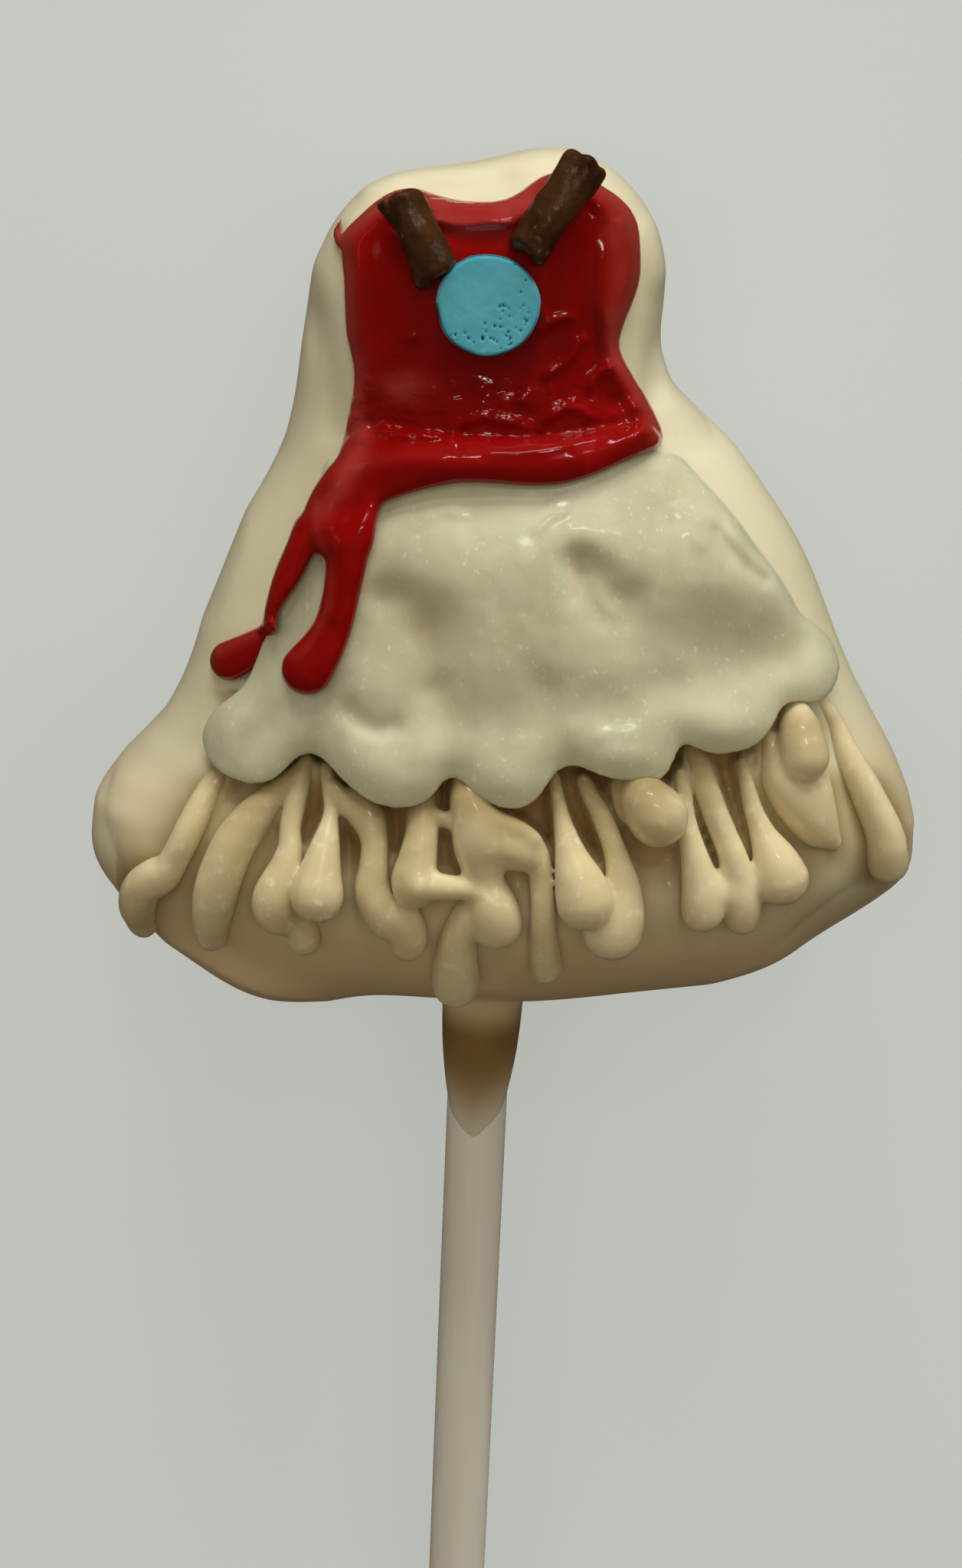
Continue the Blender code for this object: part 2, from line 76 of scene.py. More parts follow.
def sight(uv):
    """Unit directions from the camera through frame positions."""
    uv = np.asarray(uv, float)
    d = (CAM_RIGHT * ((uv[:, 0:1] - WIDE / 2) / FOCAL) + CAM_DOWN * ((uv[:, 1:2] - HIGH / 2) / FOCAL) + CAM_AHEAD)
    return d / np.linalg.norm(d, axis=1)[:, None]


# ---------------------------------------------------------------- small maths
def smooth(edge0, edge1, value):
    t = np.clip((value - edge0) / (edge1 - edge0), 0, 1)
    return t * t * (3 - 2 * t)


def soft_min(a, b, k):
    h = np.maximum(k - np.abs(a - b), 0) / k
    return np.minimum(a, b) - h * h * k / 4


def soft_max(a, b, k):
    return -soft_min(-a, -b, k)


def curve_through(points, steps=5, closed=False):
    """Points on a smooth curve through the given ones; extra columns are carried along."""
    p = np.asarray(points, float)
    if closed:
        a, b, c, d = (np.roll(p, k, axis=0) for k in (1, 0, -1, -2))
    else:
        q = np.vstack([2 * p[0] - p[1], p, 2 * p[-1] - p[-2]])
        a, b, c, d = q[:-3], q[1:-2], q[2:-1], q[3:]
    out = []
    for i in range(len(b)):
        for k in range(steps):
            t = k / steps
            out.append(0.5 * (2 * b[i] + (c[i] - a[i]) * t
                              + (2 * a[i] - 5 * b[i] + 4 * c[i] - d[i]) * t**2
                              + (3 * b[i] - a[i] - 3 * c[i] + d[i]) * t**3))
    if not closed:
        out.append(p[-1])
    return np.array(out)


def lattice_noise(x, y, z, size, seed):
    """Smooth random values about 0, from -1 to 1, with features of the given size."""
    rng = np.random.default_rng(seed)
    table = rng.uniform(-1, 1, (32, 32, 32))
    q = [np.asarray(c) / size + 100 for c in (x, y, z)]
    i = [np.floor(c).astype(int) for c in q]
    f = [c - j for c, j in zip(q, i)]
    f = [t * t * (3 - 2 * t) for t in f]
    value = 0
    for dx in (0, 1):
        for dy in (0, 1):
            for dz in (0, 1):
                w = ((f[0] if dx else 1 - f[0]) * (f[1] if dy else 1 - f[1]) * (f[2] if dz else 1 - f[2]))
                value = value + w * table[(i[0] + dx) % 32, (i[1] + dy) % 32, (i[2] + dz) % 32]
    return value


# ---------------------------------------------------------------- the cake's surface
# along the stick: position, half width left, half width right, depth front, depth back
STATIONS = np.array([
    (-4.0, 24.6, 25.0, 14.0, 12.6),
    (6.0, 25.3, 26.6, 14.3, 12.9),
    (10.0, 25.6, 27.2, 14.5, 13.0),
    (13.0, 25.4, 27.1, 14.5, 13.0),
    (15.2, 24.2, 26.4, 14.4, 13.0),
    (17.2, 22.0, 25.4, 14.2, 13.0),
    (19.0, 20.4, 24.5, 14.0, 13.0),
    (24.0, 18.1, 21.6, 13.2, 12.8),
    (30.5, 15.6, 18.5, 12.0, 12.2),
    (36.4, 13.4, 14.2, 10.5, 11.0),
    (38.7, 12.9, 12.1, 10.1, 10.4),
    (41.0, 12.6, 10.1, 10.0, 10.0),
    (44.0, 12.3, 9.3, 9.9, 9.7),
    (50.0, 11.8, 9.3, 9.7, 9.3),
    (58.0, 11.6, 9.3, 9.6, 9.1),
])


def along(column, y):
    """A station column at y, joined without overshoot between the stations."""
    xs, ys = STATIONS[:, 0], STATIONS[:, column]
    h = np.diff(xs)
    d = np.diff(ys) / h
    m = np.empty_like(ys)
    m[0], m[-1] = d[0], d[-1]
    for i in range(1, len(xs) - 1):
        m[i] = 0.0 if d[i - 1] * d[i] <= 0 else 2 * d[i - 1] * d[i] / (d[i - 1] + d[i])
    i = np.clip(np.searchsorted(xs, y) - 1, 0, len(h) - 1)
    t = np.clip((y - xs[i]) / h[i], 0, 1)
    return ((2 * t**3 - 3 * t**2 + 1) * ys[i] + (t**3 - 2 * t**2 + t) * h[i] * m[i]
            + (3 * t**2 - 2 * t**3) * ys[i + 1] + (t**3 - t**2) * h[i] * m[i + 1])


def level(x, y, z):
    """Zero on the cake's surface, negative inside."""
    low = 1 - smooth(6.0, 20.0, y)
    high = smooth(42.0, 51.0, y)
    slide = low * (0.20 * np.maximum(z, 0) + 0.07 * np.maximum(x - 3, 0) - 0.7 * np.exp(-((x + 12.5) / 4) ** 2))
    slide = slide + high * 0.85 * np.tanh((x + 0.5) / 3.0)
    y = y - slide
    left, right = along(1, y), along(2, y)
    depth = np.where(z > 0, along(3, y), along(4, y))
    u = np.abs(x - (right - left) / 2) / ((right + left) / 2)
    w = np.abs(z) / depth
    hem = np.maximum(11.5 - y, 0) / 11.0
    neck = np.maximum(y - 45.0, 0) / 8.0
    return (u**2.4 + w**2.4 + hem**2.4 + neck**2.3) ** (1 / 2.4) - 1


# ---------------------------------------------------------------- lattices and the meshes drawn from them
class Lattice:
    """A block of regularly spaced points in the design frame."""

    def __init__(self, low, high, step):
        self.low, self.step = np.array(low, float), float(step)
        self.count = [int(math.ceil((high[k] - low[k]) / step)) + 1 for k in range(3)]
        axes = [self.low[k] + step * np.arange(self.count[k]) for k in range(3)]
        self.x, self.y, self.z = np.meshgrid(*axes, indexing="ij")

    def block(self, low, high):
        """Slices of the part of the block between two corners."""
        out = []
        for k in range(3):
            a = int(np.clip(math.floor((low[k] - self.low[k]) / self.step), 0, self.count[k] - 1))
            b = int(np.clip(math.ceil((high[k] - self.low[k]) / self.step) + 1, a + 1, self.count[k]))
            out.append(slice(a, b))
        return tuple(out)


def sample(values, lattice, p):
    """Values of a lattice at points, linear between the lattice points."""
    q = (p - lattice.low) / lattice.step
    q = np.clip(q, 0, np.array(values.shape) - 1.000001)
    i = q.astype(int)
    f = q - i
    ax, ay, az = f[:, 0], f[:, 1], f[:, 2]
    x, y, z = i[:, 0], i[:, 1], i[:, 2]
    c00 = values[x, y, z] * (1 - ax) + values[x + 1, y, z] * ax
    c10 = values[x, y + 1, z] * (1 - ax) + values[x + 1, y + 1, z] * ax
    c01 = values[x, y, z + 1] * (1 - ax) + values[x + 1, y, z + 1] * ax
    c11 = values[x, y + 1, z + 1] * (1 - ax) + values[x + 1, y + 1, z + 1] * ax
    return (c00 * (1 - ay) + c10 * ay) * (1 - az) + (c01 * (1 - ay) + c11 * ay) * az


def steepness(values, step):
    g = np.gradient(values, step)
    return np.sqrt(g[0] ** 2 + g[1] ** 2 + g[2] ** 2)


def draw_out(values, lattice, relax=4):
    """The closed surface where values cross zero: one vertex in each mixed cell, a quad for each crossed edge."""
    values = values.copy()
    edge = lattice.step
    for axis in range(3):                   # closed at the block's sides
        for side in (0, -1):
            cut = [slice(None)] * 3
            cut[axis] = side
            values[tuple(cut)] = np.maximum(values[tuple(cut)], edge)
    inside = values < 0
    nx, ny, nz = values.shape
    count = np.zeros((nx - 1, ny - 1, nz - 1), np.int8)
    for dx in (0, 1):
        for dy in (0, 1):
            for dz in (0, 1):
                count += inside[dx:nx - 1 + dx, dy:ny - 1 + dy, dz:nz - 1 + dz]
    cells = np.argwhere((count > 0) & (count < 8))
    number = -np.ones(count.shape, np.int64)
    number[cells[:, 0], cells[:, 1], cells[:, 2]] = np.arange(len(cells))
    total, hits = np.zeros((len(cells), 3)), np.zeros(len(cells))
    i, j, k = cells.T
    for axis in range(3):
        others = [a for a in range(3) if a != axis]
        for s in (0, 1):
            for t in (0, 1):
                a = [0, 0, 0]
                a[others[0]], a[others[1]] = s, t
                b = list(a)
                b[axis] = 1
                fa, fb = values[i + a[0], j + a[1], k + a[2]], values[i + b[0], j + b[1], k + b[2]]
                crossed = (fa < 0) != (fb < 0)
                share = np.where(crossed, fa / np.where(crossed, fa - fb, 1.0), 0.0)
                point = np.tile(np.array(a, float), (len(cells), 1))
                point[:, axis] = share
                total[crossed] += point[crossed]
                hits[crossed] += 1
    points = lattice.low + (cells + total / hits[:, None]) * lattice.step

    quads = []
    for axis in range(3):
        p, q = (axis + 1) % 3, (axis + 2) % 3
        low, high = [slice(None)] * 3, [slice(None)] * 3
        low[axis], high[axis] = slice(0, -1), slice(1, None)
        crossed = inside[tuple(low)] != inside[tuple(high)]
        at = np.argwhere(crossed)
        at = at[(at[:, p] > 0) & (at[:, q] > 0) & (at[:, p] < number.shape[p]) & (at[:, q] < number.shape[q])]
        corner = []
        for dp, dq in ((-1, -1), (0, -1), (0, 0), (-1, 0)):
            c = at.copy()
            c[:, p] += dp
            c[:, q] += dq
            corner.append(number[c[:, 0], c[:, 1], c[:, 2]])
        quad = np.stack(corner, axis=1)
        flip = ~inside[at[:, 0], at[:, 1], at[:, 2]]
        quad[flip] = quad[flip][:, ::-1]
        quads.append(quad)
    quads = np.vstack(quads)

    # loose crumbs of the level set are left out
    label = np.arange(len(points))
    while True:
        low = label[quads].min(axis=1)
        new = label.copy()
        for c in range(4):
            np.minimum.at(new, quads[:, c], low)
        new = new[new]
        if np.array_equal(new, label):
            break
        label = new
    names, sizes = np.unique(label, return_counts=True)
    keep = np.isin(label, names[sizes >= max(150, 0.004 * len(points))])
    quads = quads[keep[quads[:, 0]]]
    renumber = np.cumsum(keep) - 1
    points, quads = points[keep], renumber[quads]

    # relax along the surface, then back onto it
    slope = np.gradient(values, lattice.step)
    a = np.concatenate([quads[:, c] for c in range(4)])
    b = np.concatenate([quads[:, (c + 1) % 4] for c in range(4)])
    degree = np.bincount(a, minlength=len(points)) + np.bincount(b, minlength=len(points))
    for _ in range(relax):
        mean = np.stack([(np.bincount(a, points[b, c], len(points)) + np.bincount(b, points[a, c], len(points))) / degree
                         for c in range(3)], axis=1)
        points = points + 0.6 * (mean - points)
        f = sample(values, lattice, points)
        g = np.stack([sample(s, lattice, points) for s in slope], axis=1)
        push = -(f / np.maximum((g**2).sum(axis=1), 1e-6))[:, None] * g
        size = np.linalg.norm(push, axis=1)
        push *= np.minimum(1.0, 0.5 * lattice.step / np.maximum(size, 1e-9))[:, None]
        points = points + push
    return points, quads


def make(name, points, quads, attributes=()):
    """A mesh object in the row frame from design-frame points."""
    mesh = bpy.data.meshes.new(name)
    co = (np.asarray(points) + TO_ROW) * MM
    mesh.from_pydata(co.tolist(), [], np.asarray(quads).tolist())
    for label, values in attributes:
        layer = mesh.attributes.new(label, "FLOAT", "POINT")
        layer.data.foreach_set("value", np.asarray(values, np.float32))
    mesh.validate()
    mesh.shade_smooth()
    obj = bpy.data.objects.new(name, mesh)
    bpy.context.scene.collection.objects.link(obj)
    return obj


def finish_piece(obj, mat, slot, *nodes):
    obj.data.materials.append(mat)
    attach(obj, "root")
    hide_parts(*nodes)
    return obj


# ---------------------------------------------------------------- maps over the frame
class Plate:
    """Maps over a part of the frame, for outlines and for the relief of the poured layers."""

    def __init__(self, u0, v0, u1, v1, step=2.0):
        self.u0, self.v0, self.step = u0, v0, step
        us, vs = np.arange(u0, u1 + step, step), np.arange(v0, v1 + step, step)
        self.u, self.v = np.meshgrid(us, vs, indexing="ij")

    def look(self, values, u, v):
        a = np.clip((u - self.u0) / self.step, 0, values.shape[0] - 1.00001)
        b = np.clip((v - self.v0) / self.step, 0, values.shape[1] - 1.00001)
        i, j = a.astype(int), b.astype(int)
        a, b = a - i, b - j
        return ((values[i, j] * (1 - a) + values[i + 1, j] * a) * (1 - b)
                + (values[i, j + 1] * (1 - a) + values[i + 1, j + 1] * a) * b)

    def inside(self, corners, steps=5):
        """Distance in from a closed smooth outline, negative outside it."""
        p = curve_through(corners, steps, closed=True)
        q = np.roll(p, -1, axis=0)
        best = np.full(self.u.shape, 1e9)
        odd = np.zeros(self.u.shape, bool)
        for (ax, ay), (bx, by) in zip(p, q):
            ex, ey = bx - ax, by - ay
            t = np.clip(((self.u - ax) * ex + (self.v - ay) * ey) / max(ex * ex + ey * ey, 1e-9), 0, 1)
            best = np.minimum(best, (self.u - ax - t * ex) ** 2 + (self.v - ay - t * ey) ** 2)
            if ay != by:
                odd ^= ((ay > self.v) != (by > self.v)) & (self.u < (bx - ax) * (self.v - ay) / (by - ay) + ax)
        return np.where(odd, 1, -1) * np.sqrt(best)

    def run(self, chain, steps=4):
        """Distance in from a run of icing given by positions and half widths, negative outside it."""
        p = curve_through(chain, steps)
        best = np.full(self.u.shape, -1e9)
        for (ax, ay, ar), (bx, by, br) in zip(p[:-1], p[1:]):
            ex, ey = bx - ax, by - ay
            t = np.clip(((self.u - ax) * ex + (self.v - ay) * ey) / max(ex * ex + ey * ey, 1e-9), 0, 1)
            best = np.maximum(best, ar + (br - ar) * t - np.hypot(self.u - ax - t * ex, self.v - ay - t * ey))
        return best

    def line(self, points, width, steps=4):
        """A ridge of height 1 along a line, falling off over width."""
        p = curve_through(points, steps) if len(points) > 2 else np.asarray(points, float)
        best = np.full(self.u.shape, 1e9)
        for (ax, ay), (bx, by) in zip(p[:-1], p[1:]):
            ex, ey = bx - ax, by - ay
            t = np.clip(((self.u - ax) * ex + (self.v - ay) * ey) / max(ex * ex + ey * ey, 1e-9), 0, 1)
            best = np.minimum(best, (self.u - ax - t * ex) ** 2 + (self.v - ay - t * ey) ** 2)
        return np.exp(-best / width**2)

    def spot(self, u, v, ru, rv):
        return np.exp(-((self.u - u) / ru) ** 2 - ((self.v - v) / rv) ** 2)

    def dent(self, u, v, wide, above, below):
        """A dimple with a short wall above and a long slope below."""
        return np.exp(-((self.u - u) / wide) ** 2 - ((self.v - v) / np.where(self.v < v, above, below)) ** 2)

    def blur(self, values, width):
        n = int(3 * width / self.step)
        kernel = np.exp(-0.5 * (np.arange(-n, n + 1) * self.step / width) ** 2)
        kernel /= kernel.sum()
        for axis in (0, 1):
            padded = np.pad(values, [(n, n) if a == axis else (0, 0) for a in (0, 1)], mode="edge")
            values = sum(k * padded[(slice(i, i + values.shape[0]), slice(None)) if axis == 0
                                    else (slice(None), slice(i, i + values.shape[1]))]
                         for i, k in enumerate(kernel))
        return values


def pour(height, s, top, bottom, waist, width, power=2.2):
    """Negative inside a pour of icing.  height is above what it lies on, s the distance in from its outline."""
    across = np.maximum(width - s, 0) / width
    up = np.maximum(height - waist, 0) / np.maximum(top - waist, 0.05)
    down = np.maximum(waist - height, 0) / np.maximum(waist - bottom, 0.05)
    return ((across**power + up**power + down**power) ** (1 / power) - 1) * 0.5 * (top - bottom)


# ---------------------------------------------------------------- the coated cake
cake_grid = Lattice((-29.2, -13.2, -15.2), (30.6, 56.8, 18.4), 0.33)
gx, gy, gz = cake_grid.x, cake_grid.y, cake_grid.z
cake = level(gx, gy, gz)
cake = cake / np.maximum(steepness(cake, cake_grid.step), 1e-3)

# relief of the front: soft folds beside the bodice, and the slow waves of a dipped coating
front = Plate(90, 170, 1230, 1330, 3.0)
front_relief = (
    -0.29 * front.line([(398, 372), (408, 405), (424, 450), (434, 505), (436, 560)], 20)
    + 0.16 * front.line([(404, 300), (400, 335), (408, 372)], 26)
    - 0.30 * front.line([(874, 384), (868, 425), (856, 470), (852, 520)], 17)
    + 0.20 * front.line([(850, 300), (864, 350), (868, 372)], 18)
    - 0.22 * front.line([(540, 246), (610, 248), (660, 238)], 18)
    + 0.22 * front.line([(480, 246), (530, 231), (600, 227), (650, 216), (700, 207), (750, 206)], 15)
    + 0.10 * front.spot(222, 930, 60, 50) - 0.45 * front.spot(178, 1040, 62, 62)
    - 0.18 * front.line([(255, 940), (235, 1010), (205, 1080)], 36)
)
gu, gv, _ = project(gx, gy, gz)
facing = smooth(-1.0, 4.0, gz)
cake -= facing * front.look(front_relief, gu, gv)
cake -= 0.16 * lattice_noise(gx, gy, gz, 10.5, 3) + 0.05 * lattice_noise(gx, gy, gz, 4.2, 5)

def cake_height(p):
    return sample(cake, cake_grid, p)


def land(uv, lift, height=None):
    """Where sight lines through frame positions meet the surface lifted by lift, or pass nearest to it."""
    d = sight(uv)
    reach = np.linspace(88.0, 140.0, 521)
    p = CAM_AT + reach[None, :, None] * d[:, None, :]
    h = (height or cake_height)(p.reshape(-1, 3)).reshape(len(d), -1) - np.asarray(lift).reshape(-1, 1)
    below = h < 0
    hit = below.any(axis=1)
    first = np.where(hit, below.argmax(axis=1), h.argmin(axis=1))
    row = np.arange(len(d))
    before = np.maximum(first - 1, 0)
    share = np.where(hit, h[row, before] / np.where(hit, h[row, before] - h[row, first], 1.0), 0.0)
    at = np.where(hit, reach[before] + share * (reach[1] - reach[0]), reach[first])
    return CAM_AT + at[:, None] * d


# small swellings and hollows along the cake's outline: frame position, outward amount in mm
OUTLINE = [(500, 232, 0.15), (560, 222, -0.2), (620, 212, -0.42), (680, 200, -0.42), (740, 196, -0.25), (800, 212, -0.35),
           (840, 265, -0.70), (860, 312, -0.55), (868, 352, -0.20), (880, 480, -0.35), (893, 512, -0.60), (912, 540, -0.35),
           (405, 330, -0.45), (392, 420, -0.28), (385, 500, -0.34), (372, 560, -0.28), (322, 690, 0.40), (300, 740, 0.52),
           (280, 800, 0.36), (130, 1000, -0.35), (112, 1060, -0.42), (120, 1120, -0.48), (146, 1160, -0.40),
           (240, 1240, 0.45), (290, 1272, 1.15), (345, 1292, 1.15), (410, 1300, 0.45), (950, 1282, 0.30), (1010, 1262, 0.35),
           (1062, 1228, -0.55), (1104, 1202, -1.05), (1142, 1178, -0.60), (1196, 1090, -0.40), (1176, 1000, 0.20)]
amount, weight = 0 * cake, 0 * cake
for (_, _, swell), at in zip(OUTLINE, land([(u, v) for u, v, _ in OUTLINE], 0.0)):
    w = np.exp(-((gx - at[0]) / 2.8) ** 2 - ((gy - at[1]) / 2.8) ** 2 - ((gz - at[2]) / 5.5) ** 2)
    amount, weight = amount + swell * w, weight + w
cake -= amount / np.maximum(weight, 1.0)

# ---------------------------------------------------------------- the ivory apron
APRON = [(432, 596), (418, 622), (404, 650), (392, 678), (378, 704), (364, 736), (353, 768), (346, 800), (346, 822),
         (335, 860), (320, 892), (300, 911), (282, 925), (269, 943), (264, 961), (267, 981), (276, 997), (291, 1011),
         (311, 1020), (331, 1024), (350, 1021), (368, 1010), (381, 996), (396, 986), (414, 987), (430, 1000),
         (446, 1018), (462, 1032), (480, 1045), (500, 1053), (521, 1056), (546, 1052), (565, 1040), (578, 1023),
         (590, 1017), (604, 1022), (619, 1038), (640, 1050), (661, 1057), (681, 1056), (700, 1045), (714, 1027),
         (723, 1014), (733, 1005), (747, 1001), (762, 1004), (781, 1012), (803, 1018), (832, 1021), (858, 1020),
         (871, 1010), (880, 994), (887, 978), (897, 973), (912, 979), (933, 985), (960, 983), (984, 975), (1000, 961),
         (1011, 945), (1018, 930), (1027, 920), (1043, 917), (1068, 917), (1084, 905), (1093, 888), (1096, 868),
         (1086, 838), (1066, 816), (1045, 799), (1028, 769), (1009, 740), (986, 710), (965, 680), (938, 648),
         (909, 617), (886, 594), (862, 590), (838, 585), (800, 584), (730, 590), (650, 592), (570, 590), (490, 582)]
plate = Plate(236, 530, 1124, 1084)
s_apron = plate.blur(plate.inside(APRON), 2.5)
s_core = plate.blur(s_apron, 7.0)
hem = smooth(840, 915, plate.v + 0.10 * np.maximum(plate.u - 850, 0))
fall = plate.v + 0.30 * np.maximum(plate.u - 700, 0)
swelling = 1.15 + 0.80 * smooth(600, 770, fall) - 0.80 * smooth(765, 960, fall) + hem * 0.30 * np.exp(-((s_core - 38) / 36) ** 2)
top = (
    swelling
    + 0.20 * plate.spot(640, 700, 110, 50) + 0.30 * plate.spot(452, 893, 62, 46) + 0.30 * plate.spot(655, 890, 62, 70)
    + 0.20 * plate.spot(900, 715, 70, 60) + 0.10 * plate.spot(935, 800, 50, 50) + 0.20 * plate.spot(770, 880, 60, 60)
    + 0.32 * plate.spot(304, 950, 36, 40) + 0.12 * plate.spot(505, 1000, 50, 36) + 0.16 * plate.spot(660, 1004, 44, 40)
    + 0.14 * plate.spot(826, 976, 50, 34) + 0.22 * plate.spot(940, 948, 46, 30) + 0.16 * plate.spot(1062, 872, 26, 30)
    - 0.62 * plate.dent(760, 734, 24, 20, 60) - 0.40 * plate.dent(788, 752, 26, 22, 60)
    - 0.46 * plate.dent(818, 782, 26, 24, 60)
    - 0.16 * plate.line([(754, 742), (764, 775), (780, 806)], 18)
    + 0.10 * plate.line([(772, 760), (788, 786), (796, 800)], 12)
    - 0.62 * plate.dent(560, 826, 36, 38, 80) - 0.52 * plate.dent(506, 784, 40, 26, 70)
    + 0.45 * plate.spot(960, 770, 90, 50) - 0.45 * plate.dent(1000, 868, 66, 46, 46)
    - 0.22 * plate.spot(420, 800, 40, 60) 
    - 0.30 * plate.line([(512, 772), (540, 790), (562, 830), (568, 890)], 32)
    - 0.22 * plate.line([(455, 926), (470, 943), (492, 953), (512, 950)], 14)
    - 0.22 * plate.line([(575, 905), (590, 950), (592, 1000)], 24)
    - 0.22 * plate.line([(715, 900), (722, 960), (730, 990)], 26)
    - 0.20 * plate.line([(880, 900), (892, 950)], 26)
    - 0.26 * plate.line([(938, 694), (952, 716), (972, 737), (998, 756)], 10)
    + 0.14 * plate.line([(954, 692), (980, 718), (1006, 744)], 11)
    + 0.10 * plate.line([(886, 664), (897, 680), (903, 696), (916, 712)], 7)
    + 0.09 * plate.line([(562, 676), (580, 668), (604, 672)], 8) + 0.09 * plate.line([(700, 690), (716, 674), (738, 664)], 8)
    + 0.08 * plate.line([(780, 964), (800, 955), (826, 956)], 8)
)
top = top + 0.08 * lattice_noise(plate.u, plate.v, 0 * plate.u, 62, 11) + 0.02 * lattice_noise(plate.u, plate.v, 0 * plate.u, 17, 12)
hang = hem * np.exp(-np.maximum(s_core, 0) / 40)            # the hem stands off the cake
apron_grid = Lattice((-19.4, 14.6, 1.2), (21.6, 42.2, 18.6), 0.22)
ax_, ay_, az_ = apron_grid.x, apron_grid.y, apron_grid.z
flat = np.stack([ax_.ravel(), ay_.ravel(), az_.ravel()], axis=1)
h_apron = cake_height(flat).reshape(ax_.shape)
pu, pv, deep = project(ax_, ay_, az_)
per_px = deep / FOCAL
s_mm = plate.look(s_apron, pu, pv) * per_px
t_mm = plate.look(top, pu, pv) + 0.02 * lattice_noise(ax_, ay_, az_, 1.7, 17)
lift = plate.look(hang, pu, pv)
bottom = -0.35 + 0.85 * lift
waist = bottom + 0.45 * (t_mm - bottom)
apron = pour(h_apron, s_mm, t_mm, bottom, waist, 1.25)
apron = soft_max(apron, 2.2 - az_, 0.5)
points, quads = draw_out(apron, apron_grid, relax=3)
qu, qv, _ = project(*points.T)
# painted shade: the apron turns browner in its dents, where its icing lies lower than the swelling; partly the tan cake
# showing through the thinner icing there
thin_dent_shade = np.clip((plate.look(swelling - top, qu, qv) - 0.15) / 1.3, 0, 1) * (cake_height(points) > 0.3)
ivory_apron = make("ivory_apron", points, quads, [("thin_dent_shade", thin_dent_shade)])
apron_near = apron / np.maximum(steepness(apron, apron_grid.step), 0.15)


def apron_height(p):
    """Height above the cake and the apron together."""
    inside = np.all((p > apron_grid.low + 0.3) & (p < apron_grid.low + apron_grid.step * (np.array(apron.shape) - 1) - 0.3), axis=1)
    h = cake_height(p)
    near = np.where(inside, sample(apron_near, apron_grid, p), 9.0)
    return soft_min(h, near, 0.7)


# ---------------------------------------------------------------- the red bodice and its drips
BODICE = [(445, 313), (446, 338), (449, 370), (450, 402), (452, 435), (458, 462), (462, 488), (460, 516), (454, 545),
          (449, 570), (440, 596), (424, 616), (408, 640), (397, 664), (390, 688), (398, 706), (413, 722), (432, 731),
          (458, 732), (479, 722), (488, 704), (492, 680), (499, 659), (518, 650), (540, 643), (568, 636), (600, 631),
          (640, 631), (682, 634), (715, 634), (745, 630), (782, 618), (820, 601), (850, 588), (865, 576), (864, 562),
          (856, 542), (845, 520), (830, 497), (816, 472), (809, 452), (813, 430), (826, 396), (835, 368), (837, 345),
          (836, 318), (833, 294), (824, 274), (810, 259), (794, 247), (775, 236), (752, 227), (730, 224), (708, 230),
          (691, 241), (673, 254), (650, 262), (620, 263), (592, 260), (567, 253), (545, 246), (521, 247), (500, 256),
          (484, 268), (466, 285), (452, 299)]
DRIP_OUTER = [(400, 690, 18), (389, 722, 19), (375, 752, 18), (362, 779, 13), (354, 800, 9.5), (352, 822, 9)]
DRIP_LOBE = [(353, 812, 8), (349, 824, 11), (338, 838, 18), (321, 852, 24), (300, 863, 26.5)]
DRIP_MAIN = [(456, 705, 30), (452, 735, 27), (448, 762, 25), (442, 792, 24.5), (433, 822, 25.5), (418, 850, 29.5), (401, 874, 34)]
CURL = [(447, 286, 2.0), (441, 296, 3.2), (439, 306, 4.0), (444, 318, 6.0)]
plate_r = Plate(256, 176, 900, 932)
s_red = plate_r.inside(BODICE)
for run, k in ((DRIP_OUTER, 7), (DRIP_LOBE, 5), (DRIP_MAIN, 8), (CURL, 3)):
    s_run = plate_r.run(run)
    if run is DRIP_LOBE:                    # it lies beside the apron, not on it
        s_run = soft_min(s_run, 5 - plate.look(s_apron, plate_r.u, plate_r.v) * (plate_r.v > 815), 6)
    s_red = soft_max(s_red, s_run, k)
s_red = plate_r.blur(s_red, 2.0)
s_mid = plate_r.blur(s_red, 7.0)
s_red = s_red + (s_mid - s_red) * smooth(4, 20, s_red)
u, v = plate_r.u, plate_r.v
chest = smooth(600, 560, v)
drips = smooth(655, 690, v)
